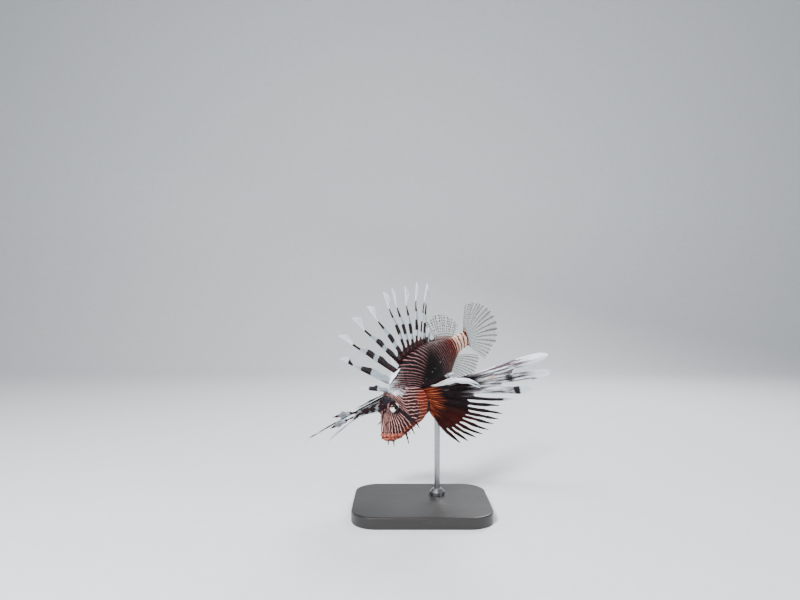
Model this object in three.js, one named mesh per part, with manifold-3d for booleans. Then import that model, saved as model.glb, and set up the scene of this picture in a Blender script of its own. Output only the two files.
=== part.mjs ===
// A red lionfish as a still, life-size museum model: head down, fins spread, held on a plain stand.
//
// The fish is built in a frame of its own. "back" runs from the tip of the snout to the tail, "left" and
// "up" are measured from the middle of the body, and all three are millimetres. The group then turns the
// fish into its pose and lifts it over the stand.
import * as THREE from 'three';
import { mergeVertices } from 'three/addons/utils/BufferGeometryUtils.js';
import Module from 'manifold-3d';

const wasm = await Module();
wasm.setup();

// Driving dimensions of the fish
const BODY_LENGTH = 230; // snout to the root of the tail fin
const GAP = 0.3; // clear space between pieces that touch
const ROOT_DEPTH = 5; // how deep a fin starts inside the body before it is cut to the skin

// Pose: the head points down and to the left, the body curves down and a little to its right
const YAW = THREE.MathUtils.degToRad(45);
const PITCH = THREE.MathUtils.degToRad(41);
const ROLL = THREE.MathUtils.degToRad(-3);
const BEND_START = 0.33 * BODY_LENGTH;
const BEND_ANGLE = THREE.MathUtils.degToRad(23);
const BEND_SIDE = THREE.MathUtils.degToRad(18);
const BEND_RADIUS = 0.65 * BODY_LENGTH / BEND_ANGLE;
const BODY_MIDDLE = 0.45 * BODY_LENGTH; // the point of the body's axis that hangs over the stand's centre
const HANGING_HEIGHT = 180; // its height over the floor

// Side view and top view of the body: [share of the body's length, share of the body's length]
const BACK_LINE = [
  [0.02, -0.006], [0.045, 0.026], [0.09, 0.07], [0.15, 0.114], [0.22, 0.157], [0.3, 0.187],
  [0.41, 0.205], [0.52, 0.191], [0.64, 0.157], [0.76, 0.104], [0.87, 0.062], [1, 0.054],
];
const BELLY_LINE = [
  [0.02, -0.042], [0.05, -0.078], [0.1, -0.108], [0.16, -0.126], [0.26, -0.148], [0.4, -0.168],
  [0.52, -0.167], [0.64, -0.147], [0.74, -0.101], [0.85, -0.057], [1, -0.052],
];
const HALF_WIDTH = [
  [0.02, 0.014], [0.03, 0.023], [0.05, 0.032], [0.09, 0.044], [0.16, 0.066], [0.26, 0.09], [0.36, 0.1],
  [0.48, 0.092], [0.62, 0.068], [0.76, 0.038], [0.87, 0.021], [1, 0.012],
];
const SNOUT = 0.02; // where the snout's tip lies along the length
const SNOUT_UP = -0.024;
const SECTION_POWER = 2.15; // 2 is an ellipse, more is fuller

// Where the body is parted: the gill opening runs back from the nape to the flap's tip and under the throat
const GILL_NAPE = 0.205;
const GILL_FLAP = 0.362;
const GILL_THROAT = 0.265;
const GILL_STEP = 1.3; // how far the gill cover stands over the skin behind it
const STALK_START = 0.86;
const STALK_END = 0.99;

// Eyes, with a bony rim round each
const EYE_RADIUS = 8.2;
const EYE_BACK = 0.165;
const EYE_LEFT = 0.0395;
const EYE_UP = 0.086;
const RIM_THICKNESS = 1.9;
const RIM_TILT = 0.22;

// Mouth: a cleft that slopes down and back from the snout, as shares of the body's length
const MOUTH_UP = -0.006;
const MOUTH_SLOPE = 0.98;
const MOUTH_BACK = 0.113;
const LIP_RADIUS = 1.9;
const LIP_APART = 1.9; // how far each lip's middle lies from the mouth line
const CLEFT_HEIGHT = 1.3;
const CLEFT_DEPTH = 5;

// Nostrils: a raised rim round a small pit
const NOSTRIL = [0.09, 42];
const NOSTRIL_RADIUS = 1.5;
const NOSTRIL_RIM = 0.6;

// Bony ridges as [share of the length, angle round the body in degrees], with their radius: over the eye,
// under the eye to the gill cover, along the cheek's hind edge and beside the nape
const RIDGES = [
  [[[0.12, 63], [0.145, 61], [0.175, 59], [0.2, 62]], 2.4],
  [[[0.09, 4], [0.15, 2], [0.21, 2], [0.275, 8]], 1.8],
  [[[0.13, -36], [0.19, -36], [0.24, -22], [0.265, 0]], 1.9],
  [[[0.17, 76], [0.185, 73], [0.2, 71]], 1.5],
];

// Soft flaps: root as [share, angle], then direction as [back, left, up], length and width
const FLAPS = [
  [[0.05, -48], [-0.6, 0.1, -0.8], 6, 2.6],
  [[0.135, -38], [-0.5, 0.25, -0.85], 13, 3.6],
  [[0.175, -34], [-0.3, 0.5, -0.8], 10, 3],
  [[0.215, -40], [-0.1, 0.5, -0.8], 8, 2.8],
  [[0.08, 52], [-0.8, 0.3, 0.5], 6, 1.8],
];

// Short spines on the cheek's hind edge, given in the same way
const CHEEK_SPINES = [
  [[0.262, -3], [1, 0.5, 0.1], 7, 3],
  [[0.245, -20], [1, 0.5, -0.4], 6, 3],
  [[0.215, -32], [0.8, 0.5, -0.9], 5, 3],
];

// Thirteen dorsal spines, by number: root, lean from the body's axis, length and width of the trailing skin
const SPINE_COUNT = 13;
const SPINE_ROOT = [
  [1, 0.222], [2, 0.262], [3, 0.335], [4, 0.388], [5, 0.43], [6, 0.462], [7, 0.491],
  [8, 0.518], [9, 0.547], [10, 0.575], [11, 0.603], [12, 0.642], [13, 0.7],
];
const SPINE_LEAN = [
  [1, 130], [2, 114], [3, 109], [4, 100], [5, 92], [6, 82], [7, 77], [8, 70], [9, 60], [10, 53],
  [11, 54], [12, 55], [13, 56],
];
const SPINE_LENGTH = [
  [1, 46], [2, 92], [3, 106], [4, 104], [5, 95], [6, 96], [7, 93], [8, 87], [9, 88], [10, 85],
  [11, 78], [12, 20], [13, 12],
];
const SPINE_SKIN = [[1, 7], [2, 8.5], [3, 8], [4, 5], [6, 4], [11, 3.4], [13, 2.6]];
const SPINE_WIDTH = [[0, 1.5], [0.5, 1], [1, 0.35]]; // half width along the spine
const SPINE_ROWS = [0, 0.08, 0.2, 0.34, 0.55, 0.76, 0.82, 0.92, 1]; // shares of a spine's length
const SPINE_SWAY = 0.6; // how far each spine leans out of the middle plane, left and right in turn
const PENNANT_WIDTH = 6.2;
const PENNANT_START = 0.76;
const SHORT_SPINES = 11; // from this number on the skin joins the spines higher up

// Soft fins: rays by share along the root line
const WEB_HALF = 0.34; // half the thickness of a fin's skin between its rays
const RAY_HALF = 0.8; // half the thickness of a soft ray at its root

// Where the soft fins' first and last rays are rooted along the body, and their angles to its axis
const SOFT_DORSAL_ROOT = [0.735, 0.85];
const SOFT_DORSAL_FAN = [84, 24];
const CAUDAL_ROOT_UP = [0.042, -0.04];
const CAUDAL_FAN = [70, -46];
const ANAL_ROOT = [0.69, 0.83];
const ANAL_FAN = [-56, -22];
const FIN_ROOT_DEPTH = 4; // how far below the skin's line these fins start

// Pelvic fins: where their first and last rays are rooted, and how the rays point back, out and up
const PELVIC_ROOT = [0.35, 0.4];
const PELVIC_LEFT = [0.022, 0.05];
const PELVIC_UP = [-0.15, -0.146];
const PELVIC_OUT = 0.16;
const PELVIC_RISE = [-0.34, 0.02];

// Lengths of the soft fins' rays as [share across the fin, share of the body's length]
const SOFT_DORSAL_LENGTH = [[0, 0.12], [0.35, 0.155], [1, 0.12]];
const CAUDAL_LENGTH = [[0, 0.18], [0.3, 0.28], [0.62, 0.42], [0.85, 0.29], [1, 0.22]];
const ANAL_LENGTH = [[0, 0.13], [0.3, 0.22], [0.7, 0.3], [1, 0.3]];
const PELVIC_LENGTH = [[0, 0.34], [0.25, 0.46], [0.6, 0.44], [1, 0.27]];

// Pectoral fins: fourteen rays each, from the longest at the top to the short ones below
const PECTORAL_RAYS = 14;
const PECTORAL_ROOT = [[0, 8, 0.372], [1, -52, 0.356]]; // [share of the fan, angle round the body, back]
const LEFT_RAYS = [
  [0, 0.33], [1, 0.8], [2, 0.77], [3, 0.64], [4, 0.52], [5, 0.44], [6, 0.46], [8, 0.43], [13, 0.4],
];
const RIGHT_RAYS = [[0, 0.34], [1, 0.76], [2, 0.6], [3, 0.46], [4, 0.42], [6, 0.42], [13, 0.36]];
const LEFT_CUP = [[0, 0.06], [13, 0.06]]; // how far a ray curves out of the fan, of its length
const RIGHT_CUP = [[0, 0], [1, 0.05], [2, 0.15], [3, 0.09], [5, 0.02], [13, 0.02]];
const PECTORAL_ROWS = [0, 0.1, 0.24, 0.42, 0.6, 0.74, 0.88, 1]; // shares of a ray's length
const PECTORAL_VANE = [[0, 2.2], [0.4, 2.4], [0.74, 2.6], [0.88, 2.3], [1, 0.5]]; // half width of a ray
const LEADING_VANE = [[0, 1.8], [0.6, 3], [0.88, 5.2], [1, 1]]; // the same for the three longest rays
const LOBE_HALF = 2; // the fleshy root of the fin, half its thickness and how far out it fades
const LOBE_START = 12;
const LOBE_END = 34;
// The banner of skin that stands before the left fan: [share of its length, turn in the fan in degrees],
// its half width and how far it stands clear of the fan
const BANNER_LENGTH = 0.35;
const BANNER_TURN = [[0, 10], [0.3, 2], [0.6, 1], [0.85, 8], [1, 16]];
const BANNER_HALF = [[0, 1], [0.3, 2], [0.7, 5], [0.9, 3.4], [1, 1]];
const BANNER_CLEAR = 3.2;
const LEFT_LEAD = [0.3, 0.95, 0.16];
const LEFT_TRAIL = [0.04, -0.1, -1];
const RIGHT_LEAD = [-0.77, 0.63, 0.11];
const RIGHT_TRAIL = [0.44, 0.775, -0.47];

// Tentacles over the eyes
const TENTACLE_ROOT = [0.155, 0.032, 0.108];
const TENTACLE_LEAF = 3;
const TENTACLE_ROWS = [0, 0.12, 0.3, 0.5, 0.68, 0.76, 0.86, 0.95, 1];
const LEFT_TENTACLE = { length: 80, way: [-1, -0.45, 0.78] };
const RIGHT_TENTACLE = { length: 76, way: [-1, -0.5, 0.42] };

// Stand
const BASE_LENGTH = 190;
const BASE_WIDTH = 150;
const BASE_HEIGHT = 16;
const BASE_CORNER = 34;
const BASE_BEVEL = 2;
const ROD_RADIUS = 4;
const ROD_BACK = 0.5; // where the rod meets the belly
const ROD_DEPTH = 8; // how far it reaches up before it is cut to the skin
const COLLAR_RADIUS = 11;
const COLLAR_HEIGHT = 9;

// Colours and finishes
const FINISHES = {
  skin: { color: 0x5a1f1e, roughness: 0.45, metalness: 0 },
  fin: { color: 0x6b4a44, roughness: 0.5, metalness: 0 },
  eye: { color: 0x14100f, roughness: 0.1, metalness: 0 },
  base: { color: 0x2b2a2c, roughness: 0.5, metalness: 0 },
  steel: { color: 0xb4b6b8, roughness: 0.3, metalness: 1 },
};

// A smooth curve through stations of [place, value]
function along(stations, place) {
  const last = stations.length - 1;
  const clamped = THREE.MathUtils.clamp(place, stations[0][0], stations[last][0]);
  let k = 0;
  while (k < last - 1 && clamped > stations[k + 1][0]) k += 1;
  const slope = (i) => {
    const a = stations[Math.max(i - 1, 0)];
    const b = stations[Math.min(i + 1, last)];
    return (b[1] - a[1]) / (b[0] - a[0]);
  };
  const [x0, y0] = stations[k];
  const [x1, y1] = stations[k + 1];
  const span = x1 - x0;
  const t = (clamped - x0) / span;
  const start = slope(k) * span;
  const end = slope(k + 1) * span;
  return y0 + t * (start + t * (3 * (y1 - y0) - 2 * start - end + t * (2 * (y0 - y1) + start + end)));
}

function mix(a, b, t) {
  return a + (b - a) * t;
}

// The body's curve: what lies behind the gills follows an arc
function bend(back, left, up) {
  const toward = new THREE.Vector3(0, Math.sin(BEND_SIDE), -Math.cos(BEND_SIDE));
  const across = new THREE.Vector3(0, Math.cos(BEND_SIDE), Math.sin(BEND_SIDE));
  const flat = new THREE.Vector3(0, -left, up);
  let reach = flat.dot(toward);
  let axial = back;
  if (back > BEND_START) {
    const turn = (back - BEND_START) / BEND_RADIUS;
    axial = BEND_START + (BEND_RADIUS - reach) * Math.sin(turn);
    reach = BEND_RADIUS - (BEND_RADIUS - reach) * Math.cos(turn);
  }
  const point = across.multiplyScalar(flat.dot(across)).addScaledVector(toward, reach);
  point.x = axial;
  return point;
}

// A point of the skin at an angle round the body, from 0 at the left side to a quarter turn at the back
function skinPoint(share, angle, grown = 0) {
  const top = along(BACK_LINE, share) * BODY_LENGTH;
  const foot = along(BELLY_LINE, share) * BODY_LENGTH;
  const high = (top - foot) / 2 + grown;
  const wide = along(HALF_WIDTH, share) * BODY_LENGTH + grown;
  const power = 2 / SECTION_POWER;
  const round = (value) => Math.sign(value) * Math.abs(value) ** power;
  const up = (top + foot) / 2 + high * round(Math.sin(angle));
  return bend(share * BODY_LENGTH, wide * round(Math.cos(angle)), up);
}

// How far the skin lies from the body's middle plane at a height
function skinWidth(share, up) {
  const top = along(BACK_LINE, share) * BODY_LENGTH;
  const foot = along(BELLY_LINE, share) * BODY_LENGTH;
  const level = Math.min(Math.abs((up - (top + foot) / 2) / ((top - foot) / 2)), 1);
  return along(HALF_WIDTH, share) * BODY_LENGTH * (1 - level ** SECTION_POWER) ** (1 / SECTION_POWER);
}

function gillEdge(angle) {
  const height = Math.sin(angle);
  const end = height > 0 ? GILL_NAPE : GILL_THROAT;
  return mix(GILL_FLAP, end, Math.abs(height) ** 1.6);
}

function indexed(points, faces) {
  const geometry = new THREE.BufferGeometry();
  const numbers = points.flatMap((point) => point.toArray());
  geometry.setAttribute('position', new THREE.Float32BufferAttribute(numbers, 3));
  geometry.setIndex(faces.flat());
  return geometry;
}

// A closed skin over rings of points, with a point at each end
function loft(rings, first, last) {
  const around = rings[0].length;
  const points = [first, ...rings.flat(), last];
  const faces = [];
  for (let j = 0; j < around; j += 1) {
    const k = (j + 1) % around;
    faces.push([0, 1 + k, 1 + j]);
    for (let i = 0; i < rings.length - 1; i += 1) {
      const a = 1 + i * around;
      const b = a + around;
      faces.push([a + j, a + k, b + k], [a + j, b + k, b + j]);
    }
    const end = 1 + (rings.length - 1) * around;
    faces.push([end + j, end + k, points.length - 1]);
  }
  return indexed(points, faces);
}

// A round bar along a curve, its radius given along the way
function bar(curve, radius, steps, sides, squash = 1) {
  const frames = curve.computeFrenetFrames(steps, false);
  const rings = [];
  for (let i = 0; i <= steps; i += 1) {
    const middle = curve.getPoint(i / steps);
    const ring = [];
    for (let j = 0; j < sides; j += 1) {
      const angle = 2 * Math.PI * j / sides;
      const r = radius(i / steps);
      const point = middle.clone().addScaledVector(frames.normals[i], Math.cos(angle) * r);
      ring.push(point.addScaledVector(frames.binormals[i], Math.sin(angle) * r * squash));
    }
    rings.push(ring);
  }
  return loft(rings, curve.getPoint(0), curve.getPoint(1));
}

// A thin fin from columns of points on its middle surface. Both faces carry the same triangles, and each
// column says how many of its rows are joined to the next one.
function finFromColumns(columns) {
  const rows = columns[0].points.length;
  const points = columns.flatMap((column) => column.points);
  const halves = columns.flatMap((column) => column.halves);
  const faces = [];
  columns.slice(0, -1).forEach((column, c) => {
    for (let r = 0; r < column.joined; r += 1) {
      const a = c * rows + r;
      const b = a + rows;
      faces.push([a, b, b + 1], [a, b + 1, a + 1]);
    }
  });
  return thicken(points, halves, faces);
}

function thicken(points, halves, faces) {
  const normals = points.map(() => new THREE.Vector3());
  const edges = new Map();
  faces.forEach((face) => {
    const [a, b, c] = face.map((i) => points[i]);
    const normal = b.clone().sub(a).cross(c.clone().sub(a));
    face.forEach((i, k) => {
      normals[i].add(normal);
      edges.set(`${i},${face[(k + 1) % 3]}`, [i, face[(k + 1) % 3]]);
    });
  });
  const count = points.length;
  normals.forEach((normal) => normal.normalize());
  const side = (sign) => points.map((point, i) => {
    return point.clone().addScaledVector(normals[i], sign * halves[i]);
  });
  const walls = [...edges.values()].filter(([a, b]) => !edges.has(`${b},${a}`));
  const all = [
    ...faces,
    ...faces.map(([a, b, c]) => [a + count, c + count, b + count]),
    ...walls.flatMap(([a, b]) => [[a, a + count, b + count], [a, b + count, b]]),
  ];
  return indexed([...side(1), ...side(-1)], all);
}

// Solids for joining and cutting
function solid(geometry) {
  geometry.deleteAttribute('normal');
  geometry.deleteAttribute('uv');
  const merged = mergeVertices(geometry, 1e-4);
  return new wasm.Manifold(new wasm.Mesh({
    numProp: 3,
    vertProperties: new Float32Array(merged.attributes.position.array),
    triVerts: new Uint32Array(merged.index.array),
  }));
}

function largestPiece(body) {
  return body.decompose().reduce((best, piece) => (piece.volume() > best.volume() ? piece : best));
}

function geometryOf(body) {
  const mesh = largestPiece(body).getMesh();
  const geometry = new THREE.BufferGeometry();
  geometry.setAttribute('position', new THREE.BufferAttribute(new Float32Array(mesh.vertProperties), 3));
  geometry.setIndex(new THREE.BufferAttribute(new Uint32Array(mesh.triVerts), 1));
  return geometry;
}

function named(name, finish, geometry) {
  const mesh = new THREE.Mesh(geometry, new THREE.MeshStandardMaterial(FINISHES[finish]));
  mesh.geometry.computeVertexNormals();
  mesh.name = name;
  return mesh;
}

// Body
const AROUND = 24;
const ANGLES = Array.from({ length: AROUND }, (_, j) => -2 * Math.PI * (j + 0.5) / AROUND);

function headLoft(grown = 0) {
  const steps = [0.004, 0.02, 0.05, 0.1, 0.16, 0.23, 0.31, 0.4, 0.5, 0.6, 0.7, 0.8, 0.89, 0.96, 1];
  const ring = (step, out) => ANGLES.map((angle) => {
    return skinPoint(mix(SNOUT, gillEdge(angle) + grown / BODY_LENGTH, step), angle, out);
  });
  const lift = (step) => GILL_STEP * THREE.MathUtils.smoothstep(step, 0.8, 0.96);
  const rings = steps.map((step) => ring(step, grown + lift(step)));
  rings.push(ring(1, grown));
  const tip = bend(SNOUT * BODY_LENGTH - 0.4 - grown, 0, SNOUT_UP * BODY_LENGTH);
  return loft(rings, tip, bend(0.3 * BODY_LENGTH, 0, 0));
}

function trunkLoft(grown = 0, gap = 1.4 * GAP) {
  const rings = [];
  const steps = 16;
  for (let i = 0; i <= steps; i += 1) {
    rings.push(ANGLES.map((angle) => {
      const start = gillEdge(angle) + gap / BODY_LENGTH;
      return skinPoint(mix(start, STALK_START, (i / steps) ** 0.9), angle, grown);
    }));
  }
  const front = bend(0.3 * BODY_LENGTH + gap, 0, 0);
  return loft(rings, front, bend(STALK_START * BODY_LENGTH, 0, 0));
}

function stalkLoft(grown = 0, gap = GAP) {
  const rings = [];
  const steps = 5;
  const start = STALK_START + gap / BODY_LENGTH;
  for (let i = 0; i <= steps; i += 1) {
    rings.push(ANGLES.map((angle) => skinPoint(mix(start, STALK_END, i / steps), angle, grown)));
  }
  return loft(rings, bend(start * BODY_LENGTH, 0, 0), bend(STALK_END * BODY_LENGTH + 2 + grown, 0, 0));
}

function eyeball(side, grown = 0) {
  const ball = new THREE.SphereGeometry(EYE_RADIUS + grown, 16, 10);
  const centre = bend(EYE_BACK * BODY_LENGTH, side * EYE_LEFT * BODY_LENGTH, EYE_UP * BODY_LENGTH);
  return ball.rotateX(Math.PI / 2).translate(centre.x, centre.y, centre.z);
}

// The height of the mouth's line at a share of the body's length
function mouthHeight(share) {
  return (MOUTH_UP - (share - SNOUT) * MOUTH_SLOPE) * BODY_LENGTH;
}

// A lip's middle, from the right corner of the mouth round the snout to the left one
function lipCurve(apart) {
  const points = [];
  for (let i = -8; i <= 8; i += 1) {
    const share = mix(SNOUT, MOUTH_BACK, (i / 8) ** 2);
    const across = apart * Math.SQRT1_2;
    const back = share * BODY_LENGTH - across;
    const up = mouthHeight(share) + across;
    const width = skinWidth(Math.max(back / BODY_LENGTH, SNOUT + 0.004), up) - 0.3;
    points.push(bend(back, Math.sign(i) * width, up));
  }
  return new THREE.CatmullRomCurve3(points);
}

function lip(apart) {
  return bar(lipCurve(apart), (t) => LIP_RADIUS * (0.4 + 0.6 * Math.sin(Math.PI * t) ** 0.5), 16, 6);
}

// The thin plate that parts the lips, open in the middle so that it cuts only a little way in
function cleft() {
  const front = SNOUT * BODY_LENGTH;
  const end = MOUTH_BACK * BODY_LENGTH;
  const far = 40;
  const inner = [];
  for (let i = 0; i <= 7; i += 1) {
    const back = mix(front, end, i / 7);
    const width = skinWidth(back / BODY_LENGTH, mouthHeight(back / BODY_LENGTH));
    inner.push([mix(front + CLEFT_DEPTH, end, i / 7), Math.max(width - CLEFT_DEPTH, 0.5)]);
  }
  const outline = new THREE.Shape();
  outline.moveTo(end, far);
  outline.lineTo(-far, far);
  outline.lineTo(-far, -far);
  outline.lineTo(end, -far);
  [...inner].reverse().forEach(([back, width]) => outline.lineTo(back, -width));
  inner.forEach(([back, width]) => outline.lineTo(back, width));
  const plate = new THREE.ExtrudeGeometry(outline, { depth: CLEFT_HEIGHT, bevelEnabled: false });
  plate.translate(0, 0, mouthHeight(0) - CLEFT_HEIGHT / 2);
  const slope = new THREE.Matrix4().set(1, 0, 0, 0, 0, 1, 0, 0, -MOUTH_SLOPE, 0, 1, 0, 0, 0, 0, 1);
  return plate.applyMatrix4(slope);
}

// A place on the skin, with the way out of it: side is 1 on the left and -1 on the right
function skinPlace([share, degrees], side, lift = 0) {
  const angle = THREE.MathUtils.degToRad(degrees);
  return skinPoint(share, side > 0 ? angle : Math.PI - angle, lift);
}

// A bony ridge on the head, as a bar along places on the skin
function ridge(places, radius, side, grown = 0) {
  const points = places.map((place) => skinPlace(place, side, 0.25 * radius));
  const swell = (t) => grown + radius * (0.35 + 0.65 * Math.sin(Math.PI * t));
  return bar(new THREE.CatmullRomCurve3(points), swell, 4, 5);
}

// A nostril's rim, and the pit in it
function nostril(side) {
  const foot = skinPlace(NOSTRIL, side, 0.2);
  const way = skinPlace(NOSTRIL, side, 2).sub(foot).normalize();
  const turn = new THREE.Quaternion().setFromUnitVectors(new THREE.Vector3(0, 0, 1), way);
  const rim = new THREE.TorusGeometry(NOSTRIL_RADIUS, NOSTRIL_RIM, 4, 8).applyQuaternion(turn);
  const pit = new THREE.ConeGeometry(NOSTRIL_RADIUS * 0.8, 4, 7).rotateX(-Math.PI / 2).applyQuaternion(turn);
  return {
    rim: solid(rim.translate(foot.x, foot.y, foot.z)),
    pit: solid(pit.translate(foot.x, foot.y, foot.z)),
  };
}

// The raised rim of an eye socket
function orbit(side, grown = 0) {
  const ring = new THREE.TorusGeometry(EYE_RADIUS + 0.5, RIM_THICKNESS + grown, 5, 16);
  const centre = bend(EYE_BACK * BODY_LENGTH, side * (EYE_LEFT + 0.012) * BODY_LENGTH, EYE_UP * BODY_LENGTH);
  return ring.rotateX(Math.PI / 2).rotateX(side * RIM_TILT).translate(centre.x, centre.y, centre.z);
}

// A soft flap that hangs from the head: a flat, pointed tab from a root, along a direction
function flap(place, direction, length, width, side) {
  const start = skinPlace(place, side);
  const way = new THREE.Vector3(direction[0], -side * direction[1], direction[2]).normalize();
  const droop = new THREE.Vector3(-0.25, 0, -0.35);
  const points = [-0.12, 0, 0.35, 0.7, 1].map((t) => {
    return start.clone().addScaledVector(way, t * length).addScaledVector(droop, t * t * length);
  });
  const shape = (t) => mix(width / 2, 0.3, t ** 1.5);
  return bar(new THREE.CatmullRomCurve3(points), shape, 3, 4, 0.5);
}

function head() {
  let body = solid(headLoft()).add(solid(lip(LIP_APART))).add(solid(lip(-LIP_APART)));
  [1, -1].forEach((side) => {
    body = body.add(solid(orbit(side)));
    RIDGES.forEach(([places, radius]) => {
      body = body.add(solid(ridge(places, radius, side)));
    });
    [...FLAPS, ...CHEEK_SPINES].forEach(([place, direction, length, width]) => {
      body = body.add(solid(flap(place, direction, length, width, side)));
    });
    const { rim, pit } = nostril(side);
    body = body.add(rim).subtract(pit);
  });
  body = body.subtract(solid(cleft()));
  [1, -1].forEach((side) => {
    body = body.subtract(solid(eyeball(side, GAP)));
  });
  return body;
}

// Fins in the body's middle plane

// A point of a dorsal spine at a distance from its root inside the body, and aside of its axis
function spinePoint(n, reach, aside) {
  const lean = THREE.MathUtils.degToRad(along(SPINE_LEAN, n));
  const share = along(SPINE_ROOT, n);
  const root = share * BODY_LENGTH - ROOT_DEPTH / Math.tan(lean);
  const foot = along(BACK_LINE, share) * BODY_LENGTH - ROOT_DEPTH;
  const sway = SPINE_SWAY * (n % 2 ? 1 : -1) * (reach / 60) ** 2;
  return bend(
    root + Math.cos(lean) * reach + Math.sin(lean) * aside,
    sway,
    foot + Math.sin(lean) * reach - Math.cos(lean) * aside,
  );
}

function spineFin() {
  const rows = SPINE_ROWS;
  const whole = rows.length - 1;
  const columns = [];
  for (let n = 1; n <= SPINE_COUNT; n += 1) {
    const length = along(SPINE_LENGTH, n);
    const long = THREE.MathUtils.smoothstep(length, 30, 60);
    const reach = length + ROOT_DEPTH / Math.sin(THREE.MathUtils.degToRad(along(SPINE_LEAN, n)));
    const point = (t, aside) => spinePoint(n, reach * t, aside);
    const room = (t) => (n < SPINE_COUNT ? point(t, 0).distanceTo(spinePoint(n + 1, reach * t, 0)) : 20);
    const skin = (t) => {
      const web = along(SPINE_SKIN, n) * (1 - 0.75 * long * THREE.MathUtils.smoothstep(t, 0.45, 0.72));
      const leaf = Math.max(Math.sin(Math.PI * (t - PENNANT_START) / 0.3), 0) ** 0.7;
      if (t > PENNANT_START) return Math.max(long * PENNANT_WIDTH * leaf, 0.8) * (t === 1 ? 0.15 : 1);
      return Math.min(web, Math.max(0.6 * room(t) - 3, 0.3));
    };
    const round = (t) => along(SPINE_WIDTH, t);
    const edge = (t) => mix(0.36, 0.27, t);
    const core = (t) => Math.max(round(t), edge(t));
    const joinedTo = n < SHORT_SPINES ? 2 : 3;
    columns.push(
      { points: rows.map((t) => point(t, -round(t))), halves: rows.map(edge), joined: whole },
      { points: rows.map((t) => point(t, 0)), halves: rows.map(core), joined: whole },
      { points: rows.map((t) => point(t, round(t))), halves: rows.map(edge), joined: whole },
      { points: rows.map((t) => point(t, round(t) + skin(t))), halves: rows.map(edge), joined: joinedTo },
    );
  }
  return columns;
}

// A fan of rays joined by skin out to its margin. rays(u) gives each ray's root, direction and length for u
// from 0 to 1 across the fan, all in the fish's own frame.
function webbedFin(count, rows, rays, thick = RAY_HALF) {
  const columns = [];
  const last = (count - 1) * 2;
  for (let c = 0; c <= last; c += 1) {
    const { root, way, length, droop } = rays(c / last);
    const ray = c % 2 === 0;
    const reach = ray ? length : length * 0.93;
    columns.push({
      points: rows.map((t) => bend(
        root[0] + way[0] * reach * t,
        root[1] + way[1] * reach * t + droop * t * t,
        root[2] + way[2] * reach * t,
      )),
      halves: rows.map((t) => (ray ? mix(thick, 0.3, t) : mix(WEB_HALF, 0.27, t))),
      joined: c < last ? rows.length - 1 : 0,
    });
  }
  return columns;
}

const SOFT_ROWS = [0, 0.2, 0.4, 0.6, 0.8, 1];

function angled(degrees) {
  const angle = THREE.MathUtils.degToRad(degrees);
  return [Math.cos(angle), 0, Math.sin(angle)];
}

function softDorsal() {
  return webbedFin(10, SOFT_ROWS, (u) => {
    const share = mix(...SOFT_DORSAL_ROOT, u);
    const way = angled(mix(...SOFT_DORSAL_FAN, u));
    const length = along(SOFT_DORSAL_LENGTH, u) * BODY_LENGTH + ROOT_DEPTH;
    const up = along(BACK_LINE, share) * BODY_LENGTH - FIN_ROOT_DEPTH;
    return { root: [share * BODY_LENGTH - way[0] * ROOT_DEPTH, 0, up], way, length, droop: 2 };
  });
}

function caudal() {
  return webbedFin(13, SOFT_ROWS, (u) => {
    const way = angled(mix(...CAUDAL_FAN, u));
    const length = along(CAUDAL_LENGTH, u) * BODY_LENGTH;
    const root = [(STALK_END - 0.012) * BODY_LENGTH, 0, mix(...CAUDAL_ROOT_UP, u) * BODY_LENGTH];
    return { root, way, length, droop: -4 };
  });
}

function anal() {
  return webbedFin(10, SOFT_ROWS, (u) => {
    const share = mix(...ANAL_ROOT, u);
    const way = angled(mix(...ANAL_FAN, u));
    const length = along(ANAL_LENGTH, u) * BODY_LENGTH + ROOT_DEPTH;
    const up = along(BELLY_LINE, share) * BODY_LENGTH + FIN_ROOT_DEPTH;
    return { root: [share * BODY_LENGTH - way[0] * ROOT_DEPTH, 0, up], way, length, droop: 2 };
  });
}

function pelvic(side) {
  return webbedFin(6, SOFT_ROWS, (u) => {
    const way = new THREE.Vector3(1, side * PELVIC_OUT, mix(...PELVIC_RISE, u)).normalize().toArray();
    const length = along(PELVIC_LENGTH, u) * BODY_LENGTH;
    const place = [mix(...PELVIC_ROOT, u), side * mix(...PELVIC_LEFT, u), mix(...PELVIC_UP, u)];
    return { root: place.map((value) => value * BODY_LENGTH), way, length, droop: 6 * side };
  });
}

// A fan's first ray, the way out of its plane and its whole turn
function fanOf(side, lead, trail) {
  const first = new THREE.Vector3(lead[0], -side * lead[1], lead[2]).normalize();
  const last = new THREE.Vector3(trail[0], -side * trail[1], trail[2]).normalize();
  return { first, normal: first.clone().cross(last).normalize(), spread: first.angleTo(last) };
}

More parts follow.
